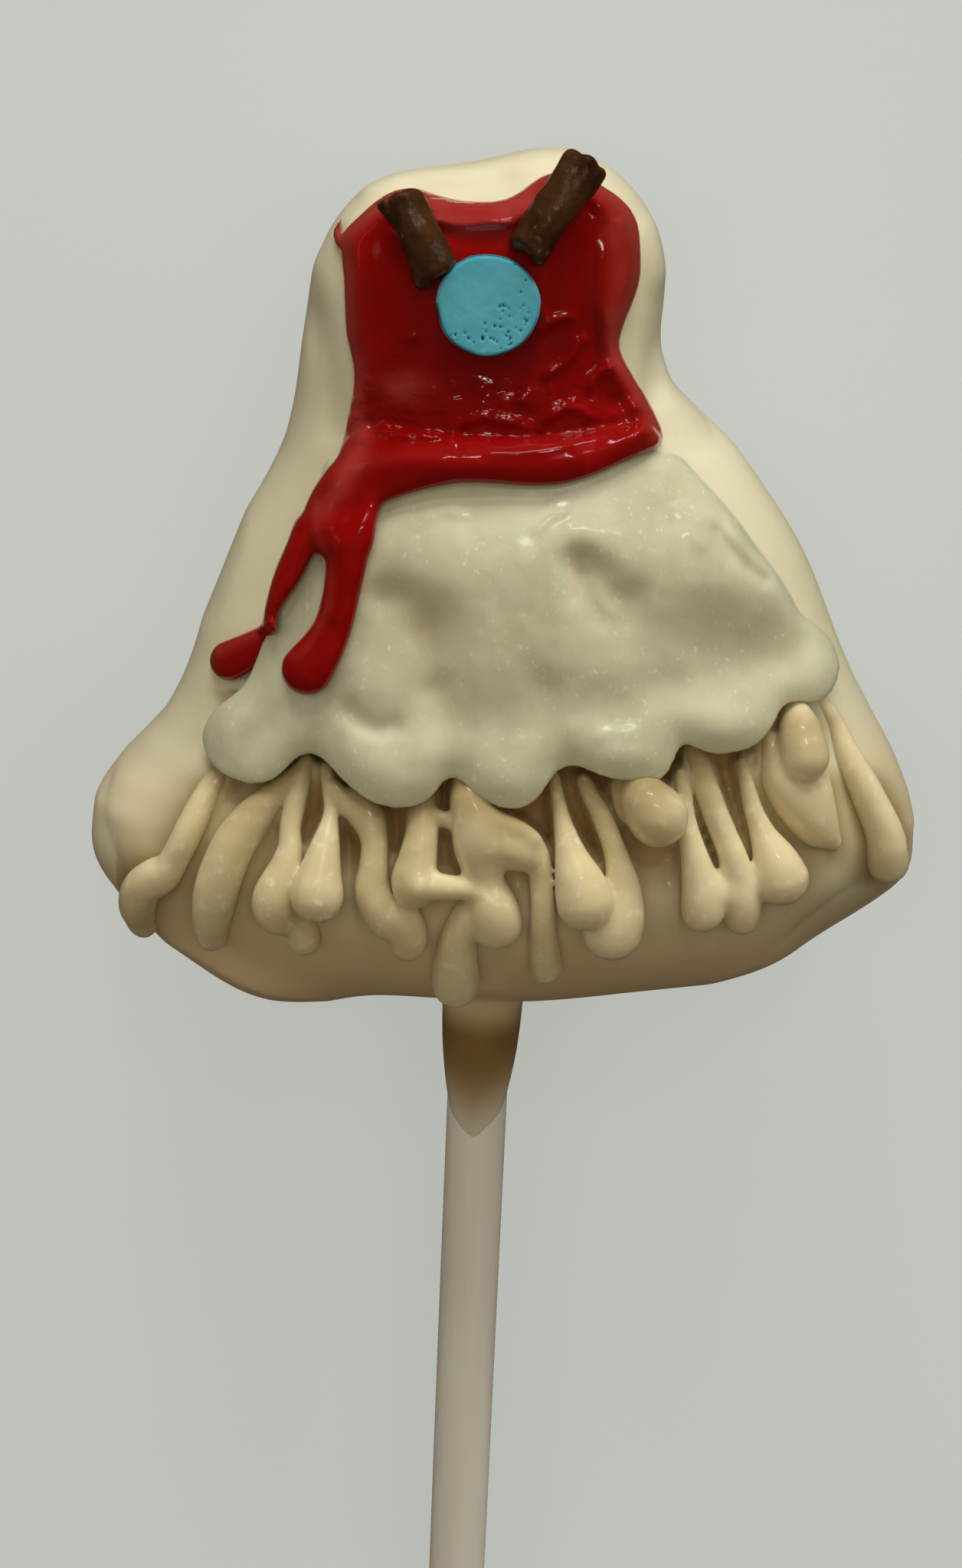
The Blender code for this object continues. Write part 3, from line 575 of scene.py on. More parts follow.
top_r = (
    0.92 + 0.22 * drips
    + 0.30 * chest * np.exp(-((s_mid - 20) / 13) ** 2)
    + 0.32 * plate_r.line([(438, 624), (470, 616), (520, 606), (590, 599), (660, 599), (730, 590), (790, 576), (846, 564)], 27)
    + 0.25 * plate_r.line([(440, 640), (425, 680), (440, 710)], 24)
    + 0.24 * plate_r.line([(566, 288), (600, 294), (640, 291), (668, 290), (694, 272), (706, 252)], 7)
    + 0.16 * plate_r.line([(560, 262), (600, 270), (650, 272), (680, 262)], 7)
    - 0.08 * plate_r.line([(576, 308), (610, 316), (660, 318)], 14)
    + 0.30 * plate_r.line([(786, 256), (798, 300), (790, 345), (788, 395), (800, 440), (816, 478)], 15)
    - 0.12 * plate_r.line([(768, 330), (764, 380), (772, 430), (790, 470)], 12)
    + 0.22 * plate_r.line([(812, 290), (822, 330), (818, 380), (810, 420)], 7)
    + 0.34 * plate_r.line([(772, 504), (778, 490), (798, 479)], 6)
    + 0.20 * plate_r.line([(800, 484), (815, 494), (830, 514), (842, 536), (848, 556)], 12)
    - 0.20 * plate_r.spot(808, 522, 24, 18)
    + 0.30 * plate_r.line([(716, 548), (732, 535), (752, 532), (774, 545)], 7.5)
    + 0.28 * plate_r.line([(590, 566), (600, 553), (632, 545), (656, 550), (688, 556)], 7.5)
    + 0.34 * plate_r.line([(498, 560), (515, 565), (534, 566)], 7) + 0.24 * plate_r.line([(548, 566), (572, 568)], 6)
    + 0.26 * plate_r.line([(712, 490), (742, 470), (756, 448), (764, 442)], 6)
    + 0.28 * plate_r.line([(706, 430), (728, 417), (744, 414)], 6) + 0.22 * plate_r.line([(704, 398), (716, 420)], 5)
    + 0.30 * plate_r.spot(680, 522, 8, 7) + 0.22 * plate_r.spot(538, 440, 7, 5)
    - 0.10 * plate_r.line([(596, 583), (640, 580), (690, 576), (740, 566), (790, 562), (815, 548)], 9)
    - 0.12 * plate_r.line([(470, 588), (520, 584), (575, 582)], 10)
    - 0.35 * plate_r.spot(704, 567, 3.5, 2.5) - 0.30 * plate_r.spot(596, 586, 5, 4)
    + 0.18 * plate_r.line([(640, 590), (700, 588), (760, 576), (792, 568)], 7)
    - 0.16 * plate_r.spot(600, 480, 80, 60) - 0.34 * plate_r.spot(640, 470, 90, 48) - 0.22 * plate_r.spot(738, 356, 30, 44)
)
ripple = smooth(470, 540, v) * smooth(588, 552, v) * smooth(845, 812, u) + 0.35 * smooth(380, 470, v) * smooth(540, 500, v)
top_r = top_r + (0.075 * lattice_noise(u, v, 0 * u, 21, 21) + 0.05 * lattice_noise(u, v, 0 * u, 9, 22)) * ripple
top_r = top_r + 0.035 * lattice_noise(u * 1.6, v * 0.5, 0 * u, 24, 23) * chest
red_grid = Lattice((-19.2, 21.2, 2.6), (9.8, 54.0, 18.0), 0.17)
rx, ry, rz = red_grid.x, red_grid.y, red_grid.z
flat = np.stack([rx.ravel(), ry.ravel(), rz.ravel()], axis=1)
h_red = apron_height(flat).reshape(rx.shape)
pu, pv, deep = project(rx, ry, rz)
beside = smooth(808, 828, pv) * smooth(358, 344, pu)          # the lobe lies on the cake, against the apron's edge
h_red = h_red * (1 - beside) + cake_height(flat).reshape(rx.shape) * beside
h_red = h_red / np.clip(steepness(h_red, red_grid.step), 0.6, 1.4)
s_mm = plate_r.look(s_red, pu, pv) * deep / FOCAL
t_mm = plate_r.look(top_r, pu, pv)
narrow = smooth(640, 700, pv)
red = pour(h_red, s_mm, t_mm, -0.35, 0.30 * t_mm, 1.15 - 0.1 * narrow, 2.2)
red = soft_max(red, 3.2 - rz, 0.4)
points, quads = draw_out(red, red_grid, relax=3)
qu, qv, _ = project(*points.T)
wrinkled = np.clip(plate_r.look(ripple + 0.6 * smooth(310, 285, v) * smooth(240, 262, v), qu, qv), 0, 1)
# painted sheen and reflection: a lighter, pinkish red along the bodice's edges and top rim, in a patch low on the left
# and along a few streaks
sheen_map = (
    np.exp(-(np.maximum(s_mid - 2, 0) / 13) ** 2) * smooth(600, 540, v)
    + 0.9 * plate_r.line([(566, 284), (604, 290), (650, 288), (690, 264)], 15) + 0.8 * plate_r.spot(530, 506, 28, 18)
    + 0.7 * plate_r.line([(470, 560), (466, 590), (446, 628), (422, 662)], 15)
    + 0.3 * plate_r.line([(412, 652), (414, 696), (426, 736), (429, 786), (404, 838), (386, 858)], 7)
    + 0.6 * plate_r.line([(286, 850), (308, 838), (330, 828)], 8)
    + 0.5 * plate_r.line([(800, 290), (810, 350), (802, 420), (814, 462)], 14)
    + 0.12 * plate_r.line([(440, 612), (480, 606), (560, 592), (660, 586), (740, 574), (820, 556)], 10)
)
sheen_map = np.clip(sheen_map + 0.25 * lattice_noise(u, v, 0 * u, 30, 25) * smooth(0.1, 0.5, sheen_map), 0, 1)
painted_sheen = np.clip(plate_r.look(sheen_map, qu, qv), 0, 1)
red_bodice = make("red_bodice", points, quads, [("wrinkled", wrinkled), ("painted_sheen", painted_sheen)])
red_near = red / np.maximum(steepness(red, red_grid.step), 0.15)


def red_height(p):
    inside = np.all((p > red_grid.low + 0.3) & (p < red_grid.low + red_grid.step * (np.array(red.shape) - 1) - 0.3), axis=1)
    return np.minimum(apron_height(p), np.where(inside, sample(red_near, red_grid, p), 9.0))


# ---------------------------------------------------------------- the piped fringe
# every strand: how far its middle stands off, how widely it melts into the others (mm), and its positions and half widths
STRANDS = {
    "fringe_left": [
        (0.75, 0.30, [(298, 1000, 13), (277, 1032, 19), (256, 1068, 20), (241, 1097, 19), (229, 1121, 18.5), (215, 1143, 21), (199, 1152, 21)]),
        (0.70, 0.40, [(206, 1141, 22), (187, 1158, 26), (180, 1179, 25), (184, 1198, 20), (188, 1207, 18)]),
    ],
    "fringe_middle": [
        (0.55, 0.35, [(389, 1008, 12), (368, 1030, 18), (345, 1052, 23), (322, 1078, 27), (304, 1106, 29), (291, 1135, 30), (282, 1165, 30), (278, 1190, 27), (276, 1212, 23), (277, 1223, 20)]),
        (0.75, 0.25, [(400, 992, 10), (393, 1018, 14), (385, 1050, 14), (379, 1080, 13), (379, 1105, 15), (374, 1130, 21), (364, 1158, 28), (359, 1180, 31), (364, 1196, 27)]),
        (0.35, 0.40, [(380, 1195, 20), (392, 1212, 23), (396, 1227, 22.5)]),
        (0.60, 0.30, [(472, 1038, 15), (484, 1062, 19), (489, 1095, 18), (488, 1130, 19), (486, 1160, 23), (494, 1186, 26), (508, 1206, 24)]),
        (-0.30, 0.60, [(436, 1028, 12), (448, 1044, 15), (466, 1062, 16), (482, 1084, 13)]),
        (0.75, 0.35, [(524, 1196, 25), (532, 1216, 25), (533, 1232, 25)]),
        (1.00, 0.25, [(551, 1036, 20), (551, 1062, 21), (550, 1092, 22), (546, 1120, 25), (541, 1146, 30), (540, 1160, 29)]),
        (0.15, 0.40, [(573, 1066, 9), (586, 1072, 10), (600, 1076, 10)]),
        (0.40, 0.40, [(612, 1043, 22), (617, 1056, 27), (622, 1076, 31), (624, 1102, 33), (628, 1128, 28), (632, 1155, 27), (641, 1182, 34), (648, 1206, 36)]),
        (0.10, 0.70, [(613, 1047, 20), (608, 1031, 17), (604, 1017, 14)]),
        (0.35, 0.70, [(630, 1090, 30), (656, 1102, 30), (680, 1112, 27), (696, 1118, 20)]),
        (2.40, 0.60, [(620, 1058, 10), (637, 1069, 11), (658, 1074, 11), (680, 1084, 11), (697, 1096, 10)]),
        (2.50, 0.35, [(548, 1156, 21), (572, 1158, 18), (598, 1160, 15.5), (624, 1164, 12.5), (646, 1170, 9), (660, 1175, 6)]),
        (0.70, 0.30, [(612, 1195, 22), (600, 1225, 25), (595, 1254, 29), (595, 1285, 32)]),
        (0.65, 0.30, [(697, 1105, 14), (704, 1128, 16), (707, 1152, 16), (709, 1182, 16.5), (709, 1212, 18), (711, 1238, 20), (713, 1264, 21.5)]),
        (0.70, 0.20, [(762, 1018, 10), (772, 1040, 12), (785, 1064, 14), (796, 1092, 15), (806, 1124, 17), (811, 1155, 24), (808, 1188, 33), (799, 1216, 41)]),
        (1.35, 0.16, [(722, 1010, 8), (727, 1040, 9), (734, 1072, 12), (741, 1100, 17), (749, 1128, 25), (757, 1152, 33), (764, 1178, 39)]),
        (1.30, 0.30, [(778, 1172, 24), (802, 1177, 9)]),
        (1.50, 0.14, [(427, 1004, 11), (430, 1030, 9.5), (432, 1055, 8.5), (430, 1078, 12), (425, 1102, 18), (420, 1128, 25), (415, 1155, 32), (414, 1172, 35)]),
    ],
    "fringe_right": [
        (0.85, 0.30, [(826, 1014, 20), (838, 1038, 31), (850, 1056, 38), (859, 1067, 41)]),
        (0.40, 0.35, [(808, 1022, 12), (811, 1045, 12), (818, 1064, 12)]),
        (0.60, 0.35, [(888, 1010, 10), (892, 1045, 12), (897, 1080, 14), (904, 1108, 17), (911, 1140, 22), (916, 1168, 27), (917, 1190, 29)]),
        (0.85, 0.30, [(906, 978, 17), (918, 1015, 17), (931, 1055, 17), (945, 1090, 17), (958, 1122, 19), (965, 1155, 22), (968, 1180, 25), (968, 1198, 24)]),
        (0.35, 0.60, [(925, 1160, 22), (950, 1165, 22), (985, 1155, 22), (1005, 1150, 20)]),
        (0.95, 0.30, [(968, 995, 8), (975, 1030, 10), (985, 1062, 13), (997, 1092, 18), (1010, 1120, 28), (1020, 1147, 37)]),
        (0.05, 1.00, [(1000, 965, 14), (1008, 992, 22), (1022, 1020, 28), (1040, 1050, 29), (1056, 1074, 24), (1064, 1088, 18)]),
        (0.10, 1.00, [(1056, 1010, 26), (1064, 1042, 24), (1074, 1068, 18), (1080, 1082, 14)]),
        (0.20, 0.60, [(1074, 1092, 12), (1088, 1100, 11)]),
        (1.05, 0.30, [(1036, 928, 20), (1044, 957, 29), (1050, 988, 34)]),
    ],
    "fringe_edge": [
        (0.70, 0.20, [(1066, 912, 12), (1086, 945, 16), (1104, 985, 19), (1124, 1022, 21), (1142, 1060, 23.5), (1155, 1095, 26.5), (1159, 1126, 28)]),
    ],
}


def under_hem(u, v):
    """How far the thick hem keeps the light off what lies below it, from 0 to 1."""
    cover = 0
    for drop, part in ((16, 0.30), (40, 0.28), (70, 0.24), (105, 0.18)):
        cover = cover + part * smooth(-12, 12, plate.look(s_apron, u, v - drop))
    return cover * smooth(915, 950, v) * (u > 238) * (u < 1122)


def fringe(name, low, high, step=0.2):
    grid = Lattice(low, high, step)
    total = np.full(grid.x.shape, 6.0)
    for off, melt, chain in STRANDS[name]:
        run = curve_through(chain, 5)
        ahead = land(run[:, :2], 0.0)
        radius = run[:, 2] * np.linalg.norm(ahead - CAM_AT, axis=1) / FOCAL * 0.95
        out = np.full(len(run), 0.66 * off)
        if chain[0][1] < 1042:
            start = -0.6 if len(chain) > 4 else -0.1
            out = start + (out - start) * smooth(-0.05, 0.60, np.linspace(0, 1, len(run)))
        at = land(run[:, :2], out * radius)
        reach = radius.max() + 1.8
        block = grid.block(at.min(axis=0) - reach, at.max(axis=0) + reach)
        strand = np.full(total[block].shape, 6.0)
        corner = [c.start for c in block]
        for a, b, ra, rb in zip(at[:-1], at[1:], radius[:-1], radius[1:]):
            near = grid.block(np.minimum(a, b) - reach, np.maximum(a, b) + reach)
            x, y, z = grid.x[near], grid.y[near], grid.z[near]
            own = tuple(slice(c.start - k, c.stop - k) for c, k in zip(near, corner))
            if any(c.start < 0 for c in own) or strand[own].shape != x.shape:
                own = tuple(slice(max(c.start, 0), min(c.stop, n)) for c, n in zip(own, strand.shape))
                near = tuple(slice(c.start + k, c.stop + k) for c, k in zip(own, corner))
                x, y, z = grid.x[near], grid.y[near], grid.z[near]
            e = b - a
            t = np.clip(((x - a[0]) * e[0] + (y - a[1]) * e[1] + (z - a[2]) * e[2]) / max(e @ e, 1e-9), 0, 1)
            d = np.sqrt((x - a[0] - t * e[0]) ** 2 + (y - a[1] - t * e[1]) ** 2 + (z - a[2] - t * e[2]) ** 2)
            strand[own] = soft_min(strand[own], d - (ra + (rb - ra) * t), 0.12)
        total[block] = soft_min(total[block], strand, melt)
    total += 0.045 * lattice_noise(grid.x, grid.y, grid.z, 1.9, 31) + 0.018 * lattice_noise(grid.x, grid.y, grid.z, 0.8, 32)
    points, quads = draw_out(total, grid, relax=3)
    u, v, _ = project(*points.T)
    return make(name + "_icing", points, quads, [("shade", under_hem(u, v))])


fringe_left = fringe("fringe_left", (-24.5, 4.5, 3.0), (-12.5, 22.5, 17.0))
fringe_middle = fringe("fringe_middle", (-19.0, 2.0, 6.0), (11.5, 23.5, 19.5))
fringe_right = fringe("fringe_right", (5.5, 7.0, 4.0), (22.5, 27.5, 19.0))
fringe_edge = fringe("fringe_edge", (16.5, 9.0, 1.5), (27.5, 26.5, 16.0))

# between the strands the coating is drawn back into deep gaps, and the same mask paints shade into them
gaps = Plate(150, 900, 1190, 1320, 3.0)
nearest = np.full(gaps.u.shape, -99.0)
for name in STRANDS:
    for _, _, chain in STRANDS[name]:
        nearest = np.maximum(nearest, gaps.run(chain, 3))
open_gap = smooth(-1, 7, -nearest) * smooth(1180, 1085, gaps.v) * smooth(262, 330, gaps.u) * smooth(1090, 1020, gaps.u)
open_gap = gaps.blur(open_gap * (0.45 + 0.55 * smooth(360, 400, gaps.u) * smooth(980, 940, gaps.u)), 2.5)


# painted shade: the coating is darker and browner in the nooks beside the strands
nook_shade = gaps.blur(np.exp(-np.maximum(-nearest, 0) / 26) * smooth(985, 1030, gaps.v) * smooth(1240, 1140, gaps.v), 3.0)


def gap_at(x, y, z):
    u, v, _ = project(x, y, z)
    inside = (u > 152) & (u < 1188) & (v > 902) & (v < 1318)
    return np.where(inside, gaps.look(open_gap, u, v), 0.0) * smooth(2.0, 5.0, z)


# the coating that ran down the stick, longest at the front
around = np.arctan2(gx, gz)                              # 0 at the front, positive to the right
ran_to = -3.2 - 6.0 * (0.5 + 0.5 * np.cos(around + 0.12)) ** 0.75 - 0.5 * np.exp(-((around + 0.1) / 0.35) ** 2)
share = np.clip((1.0 - gy) / (1.0 - ran_to), 0, 1.3)
film = 0.72 * (1 - share**2.6) + 0.10 * np.sin(around) * (1 - share)
coat = soft_max(np.hypot(gx, gz) - (1.93 + film), ran_to - 0.3 - gy, 0.3)
coat = np.maximum(coat, gy - 9.0)
cake_shape = soft_min(cake + 1.9 * gap_at(gx, gy, gz), coat, 0.9)
cake_shape = soft_max(cake_shape, REST - gz, 0.5)
points, quads = draw_out(cake_shape, cake_grid, relax=4)
p_around = np.arctan2(points[:, 0], points[:, 2])
p_end = -3.2 - 6.0 * (0.5 + 0.5 * np.cos(p_around + 0.12)) ** 0.75 - 0.5 * np.exp(-((p_around + 0.1) / 0.35) ** 2)
thin = smooth(0.35, 1.02, (1.0 - points[:, 1]) / (1.0 - p_end)) * (np.hypot(points[:, 0], points[:, 2]) < 3.4)
# painted shade: the coating that ran down the stick is dark brown, for the cake's shadow over it, partly as it lies
# thicker there
run_down_shade = smooth(0.6, -2.2, points[:, 1]) * (1 - thin**1.5)
# painted shade: the coating is darker and browner low on the front, below the hem at the right and on the left lobe
low_painted_shade = smooth(14.0, 6.5, points[:, 1])
cu, cv, _ = project(*points.T)
# painted shade: the coating is dark brown in the deep gaps between the strands
shown_gap_shade = gap_at(*points.T)
low_painted_shade = np.maximum(low_painted_shade, 0.55 * smooth(1080, 1175, cu) * smooth(900, 1000, cv))
low_painted_shade = np.maximum(low_painted_shade, 0.36 * smooth(300, 160, cu) * smooth(920, 1000, cv) * smooth(-6, 2, points[:, 2]))
shade = np.maximum(under_hem(cu, cv), np.where((cu > 152) & (cu < 1188) & (cv > 902) & (cv < 1318), gaps.look(nook_shade, cu, cv), 0.0))
shade = shade * smooth(3.5, 7.0, points[:, 2]) * (1 - 0.7 * shown_gap_shade)
coated_cake = make("coated_cake", points, quads, [("thin", thin), ("gap_shade", shown_gap_shade), ("run", run_down_shade), ("low", low_painted_shade),
                                                  ("shade", shade)])

# ---------------------------------------------------------------- sugar disc
disc_at = land([(637, 399)], [0.42], red_height)[0]
disc_axis = np.array([0.01, 0.05, 1.0])
disc_axis /= np.linalg.norm(disc_axis)
disc_x = np.cross([0, 1, 0], disc_axis)
disc_x /= np.linalg.norm(disc_x)
disc_y = np.cross(disc_axis, disc_x)
disc_grid = Lattice((-3.3, -3.3, -0.85), (3.3, 3.3, 0.85), 0.062)
dx, dy, dz = disc_grid.x, disc_grid.y, disc_grid.z
angle = np.arctan2(dy, dx)
rim = 2.80 + 0.022 * np.sin(3 * angle + 0.6) + 0.012 * np.sin(7 * angle) - 0.07 * np.exp(-((angle + 2.95) / 0.22) ** 2)
rim = rim + 0.02 * lattice_noise(dx, dy, dz, 0.5, 41) - 0.16 * (np.abs(dz) / 0.55) ** 3 * 0.5
flatness = np.abs(dz) - (0.55 + 0.012 * lattice_noise(dx, dy, dz, 0.7, 42) + 0.006 * lattice_noise(dx, dy, dz, 0.25, 43))
across = np.hypot(dx, dy / 0.95) - rim
edge = 0.16
disc = np.minimum(np.maximum(across, flatness) + edge, 0) + np.hypot(np.maximum(across + edge, 0), np.maximum(flatness + edge, 0)) - edge
rng = np.random.default_rng(19)
pits = [(1.72, 0.75, 0.10), (-0.22, -1.72, 0.15), (1.25, -1.65, 0.12), (-0.98, -1.75, 0.10), (2.15, -0.30, 0.07), (1.80, -1.25, 0.10)]
for _ in range(56):                         # most of them low and to the right
    r, a = 2.6 * math.sqrt(rng.uniform(0.05, 1)), rng.normal(-0.9, 0.85)
    pits.append((r * math.cos(a), r * math.sin(a), rng.uniform(0.04, 0.115)))
for px_, py_, pr in pits:
    stretch = 1 + 0.8 * abs(math.sin(13 * px_ + 7 * py_))
    d = np.sqrt(((dx - px_) * stretch) ** 2 + (dy - py_) ** 2 + (dz - 0.56) ** 2) - pr
    disc = soft_max(disc, -d, 0.03)
points, quads = draw_out(disc, disc_grid, relax=2)
# painted shade: the disc is dark in the bottoms of its pits
pit_shade = np.clip((0.53 - points[:, 2]) / 0.06, 0, 1) * (np.hypot(points[:, 0], points[:, 1]) < 2.7) * (points[:, 2] > 0.2)
points = disc_at + points[:, 0:1] * disc_x + points[:, 1:2] * disc_y + points[:, 2:3] * disc_axis
blue_disc = make("blue_confetti_disc", points, quads, [("pit_shade", pit_shade)])


# ---------------------------------------------------------------- chocolate sprinkles
def sprinkle(name, low, high, radius, bend, seed, lean=1.2, sink=0.25):
    """A rough chocolate rod between two frame positions, leaning on the bodice."""
    low, high = np.array(low, float), np.array(high, float)
    share = np.linspace(0, 1, 13)
    uv = low + (high - low) * share[:, None]
    ground = np.linalg.norm(land(uv, 0.0, red_height) - CAM_AT, axis=1)
    print(name, "ground", np.round(ground, 2).tolist())
    first = ground[0] - 0.55 * radius
    last = min(ground[-1] - 0.3 * radius, first + lean)
    line = first + (last - first) * share
    over = max(0.0, (line - (ground - sink * radius)).max())
    line = line - over
    print(name, "first", first, "last", last, "over", over)
    start, end = CAM_AT + line[0] * sight(uv)[0], CAM_AT + line[-1] * sight(uv)[-1]
    axis = end - start
    length = np.linalg.norm(axis)
    axis /= length
    side = np.cross(axis, [0, 0, 1.0])
    side /= np.linalg.norm(side)
    up = np.cross(side, axis)
    grid = Lattice((-radius - 0.5, -radius - 0.5, -length / 2 - 0.4), (radius + 0.5, radius + 0.5, length / 2 + 0.4), 0.085)
    x, y, z = grid.x, grid.y, grid.z
    x = x - bend * (1 - (2 * z / length) ** 2)
    turn = np.arctan2(y, x)
    r = radius * (1 + 0.05 * np.sin(2 * turn + seed) + 0.04 * np.sin(3 * turn + 1.3 * z + seed))
    r = r + 0.17 * lattice_noise(x, y, z * 0.6, 1.15, seed) + 0.075 * lattice_noise(x, y, z * 0.5, 0.42, seed + 1)
    r = r + 0.016 * lattice_noise(x, y, z, 0.2, seed + 2)
    ends = length / 2 + 0.26 * lattice_noise(x, y, z, 0.7, seed + 3) - 0.12 * x * (1 if seed % 2 else -1)
    across, along_ = np.hypot(x, y) - r, np.abs(z) - ends
    e = 0.36
    rod = np.minimum(np.maximum(across, along_) + e, 0) + np.hypot(np.maximum(across + e, 0), np.maximum(along_ + e, 0)) - e
    points, quads = draw_out(rod, grid, relax=2)
    middle = (start + end) / 2
    return make(name, middle + points[:, 0:1] * side + points[:, 1:2] * up + points[:, 2:3] * axis, quads)


sprinkle_left = sprinkle("chocolate_sprinkle_left", (572, 362), (520, 255), 1.15, 0.10, 51)
sprinkle_right = sprinkle("chocolate_sprinkle_right", (686, 333), (768, 209), 1.20, -0.08, 62)

# ---------------------------------------------------------------- the rolled paper stick
stick_low, stick_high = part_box("stick")
y0, y1 = stick_low.y / MM - TO_ROW[1], stick_high.y / MM - TO_ROW[1]
turns, rings = 96, 150
rows = []
for k in range(rings + 1):
    y = y0 + (y1 - y0) * k / rings
    a = 2 * np.pi * np.arange(turns) / turns
    edge = min(y - y0, y1 - y)
    r = 1.99 - 0.16 * math.exp(-edge / 0.10) + 0.010 * np.sin(2 * a + 0.05 * y) + 0.006 * np.sin(5 * a + 0.11 * y)
    seam = (a - 4.1 + 0.010 * y + np.pi) % (2 * np.pi) - np.pi       # the paper's outer edge, a low step along the back
    r = r - 0.030 * np.exp(-(seam / 0.05) ** 2) + 0.014 * (seam > 0) * np.exp(-seam / 0.9)
    rows.append(np.stack([r * np.sin(a), np.full(turns, y), r * np.cos(a)], axis=1))
# the rolled layers show on the two ends
for first, sign in ((True, 1.0), (False, -1.0)):
    y = y0 if first else y1
    cap = []
    for r in np.linspace(1.78, 0.06, 26):
        a = 2 * np.pi * np.arange(turns) / turns
        layer = (r / 0.22 + a / (2 * np.pi)) % 1.0
        dip = 0.045 * np.exp(-((layer - 0.5) / 0.16) ** 2) + 0.25 * np.exp(-(r / 0.22) ** 2)
        cap.append(np.stack([r * np.sin(a), y + sign * dip, r * np.cos(a)], axis=1))
    rows = cap[::-1] + rows if first else rows + cap
ring_count = len(rows)
points = np.vstack(rows)
quads = []
for k in range(ring_count - 1):
    a = k * turns + np.arange(turns)
    b = k * turns + (np.arange(turns) + 1) % turns
    quads.append(np.stack([a, b, b + turns, a + turns], axis=1))
quads = np.vstack(quads)
faces = quads.tolist() + [list(range(turns))[::-1], list(range((ring_count - 1) * turns, ring_count * turns))]
mesh = bpy.data.meshes.new("rolled_paper_stick")
mesh.from_pydata(((points + TO_ROW) * MM).tolist(), [], faces)
mesh.validate()
mesh.shade_smooth()
paper_stick = bpy.data.objects.new("rolled_paper_stick", mesh)
bpy.context.scene.collection.objects.link(paper_stick)


# ---------------------------------------------------------------- materials
def nodes_for(name):
    mat = bpy.data.materials.new(name)
    mat.use_nodes = True
    tree = mat.node_tree
    return mat, tree, tree.nodes["Principled BSDF"]


def node(tree, kind, **settings):
    n = tree.nodes.new(kind)
    for key, value in settings.items():
        if key in n.inputs:
            n.inputs[key].default_value = value
        else:
            setattr(n, key, value)
    return n


def noise(tree, scale, detail=3.0, stretch=(1, 1, 1), rough=0.55):
    coords = node(tree, "ShaderNodeTexCoord")
    place = node(tree, "ShaderNodeMapping")
    place.inputs["Scale"].default_value = stretch
    tree.links.new(coords.outputs["Object"], place.inputs["Vector"])
    n = node(tree, "ShaderNodeTexNoise")
    n.inputs["Scale"].default_value = scale
    n.inputs["Detail"].default_value = detail
    n.inputs["Roughness"].default_value = rough
    tree.links.new(place.outputs["Vector"], n.inputs["Vector"])
    return n.outputs["Fac"]


def ramp(tree, source, low, high, colour_low=(0, 0, 0, 1), colour_high=(1, 1, 1, 1)):
    r = node(tree, "ShaderNodeValToRGB")
    r.color_ramp.elements[0].position, r.color_ramp.elements[0].color = low, colour_low
    r.color_ramp.elements[1].position, r.color_ramp.elements[1].color = high, colour_high
    tree.links.new(source, r.inputs["Fac"])
    return r.outputs["Color"]


def blend(tree, share, a, b, mode="MIX"):
    m = node(tree, "ShaderNodeMix", data_type="RGBA", blend_type=mode)
    sockets = [s for s in m.inputs if s.type == "RGBA"]
    factor = [s for s in m.inputs if s.type == "VALUE" and s.enabled][0]
    if isinstance(share, float):
        factor.default_value = share
    else:
        tree.links.new(share, factor)
    for socket, value in zip(sockets[:2], (a, b)):
        if isinstance(value, tuple):
            socket.default_value = (*value, 1.0) if len(value) == 3 else value
        else:
            tree.links.new(value, socket)
    return [s for s in m.outputs if s.type == "RGBA"][0]


def bump(tree, shader, heights):
    """Stacked fine relief: (source, depth in metres)."""
    last = None
    for source, depth in heights:
        b = node(tree, "ShaderNodeBump")
        b.inputs["Strength"].default_value = 1.0
        b.inputs["Distance"].default_value = depth
        tree.links.new(source, b.inputs["Height"])
        if last is not None:
            tree.links.new(last, b.inputs["Normal"])
        last = b.outputs["Normal"]
    tree.links.new(last, shader.inputs["Normal"])
    return last


def attribute(tree, name):
    return node(tree, "ShaderNodeAttribute", attribute_name=name).outputs["Fac"]


def soft_light(shader, weight, radius, scale):
    shader.inputs["Subsurface Weight"].default_value = weight
    shader.inputs["Subsurface Radius"].default_value = radius
    shader.inputs["Subsurface Scale"].default_value = scale


def coated(shader, weight, rough, ior=1.5):
    shader.inputs["Coat Weight"].default_value = weight
    shader.inputs["Coat Roughness"].default_value = rough
    shader.inputs["Coat IOR"].default_value = ior


def rough_from(tree, shader, source, low, high):
    m = node(tree, "ShaderNodeMapRange")
    m.inputs["To Min"].default_value, m.inputs["To Max"].default_value = low, high
    tree.links.new(source, m.inputs["Value"])
    tree.links.new(m.outputs["Result"], shader.inputs["Roughness"])


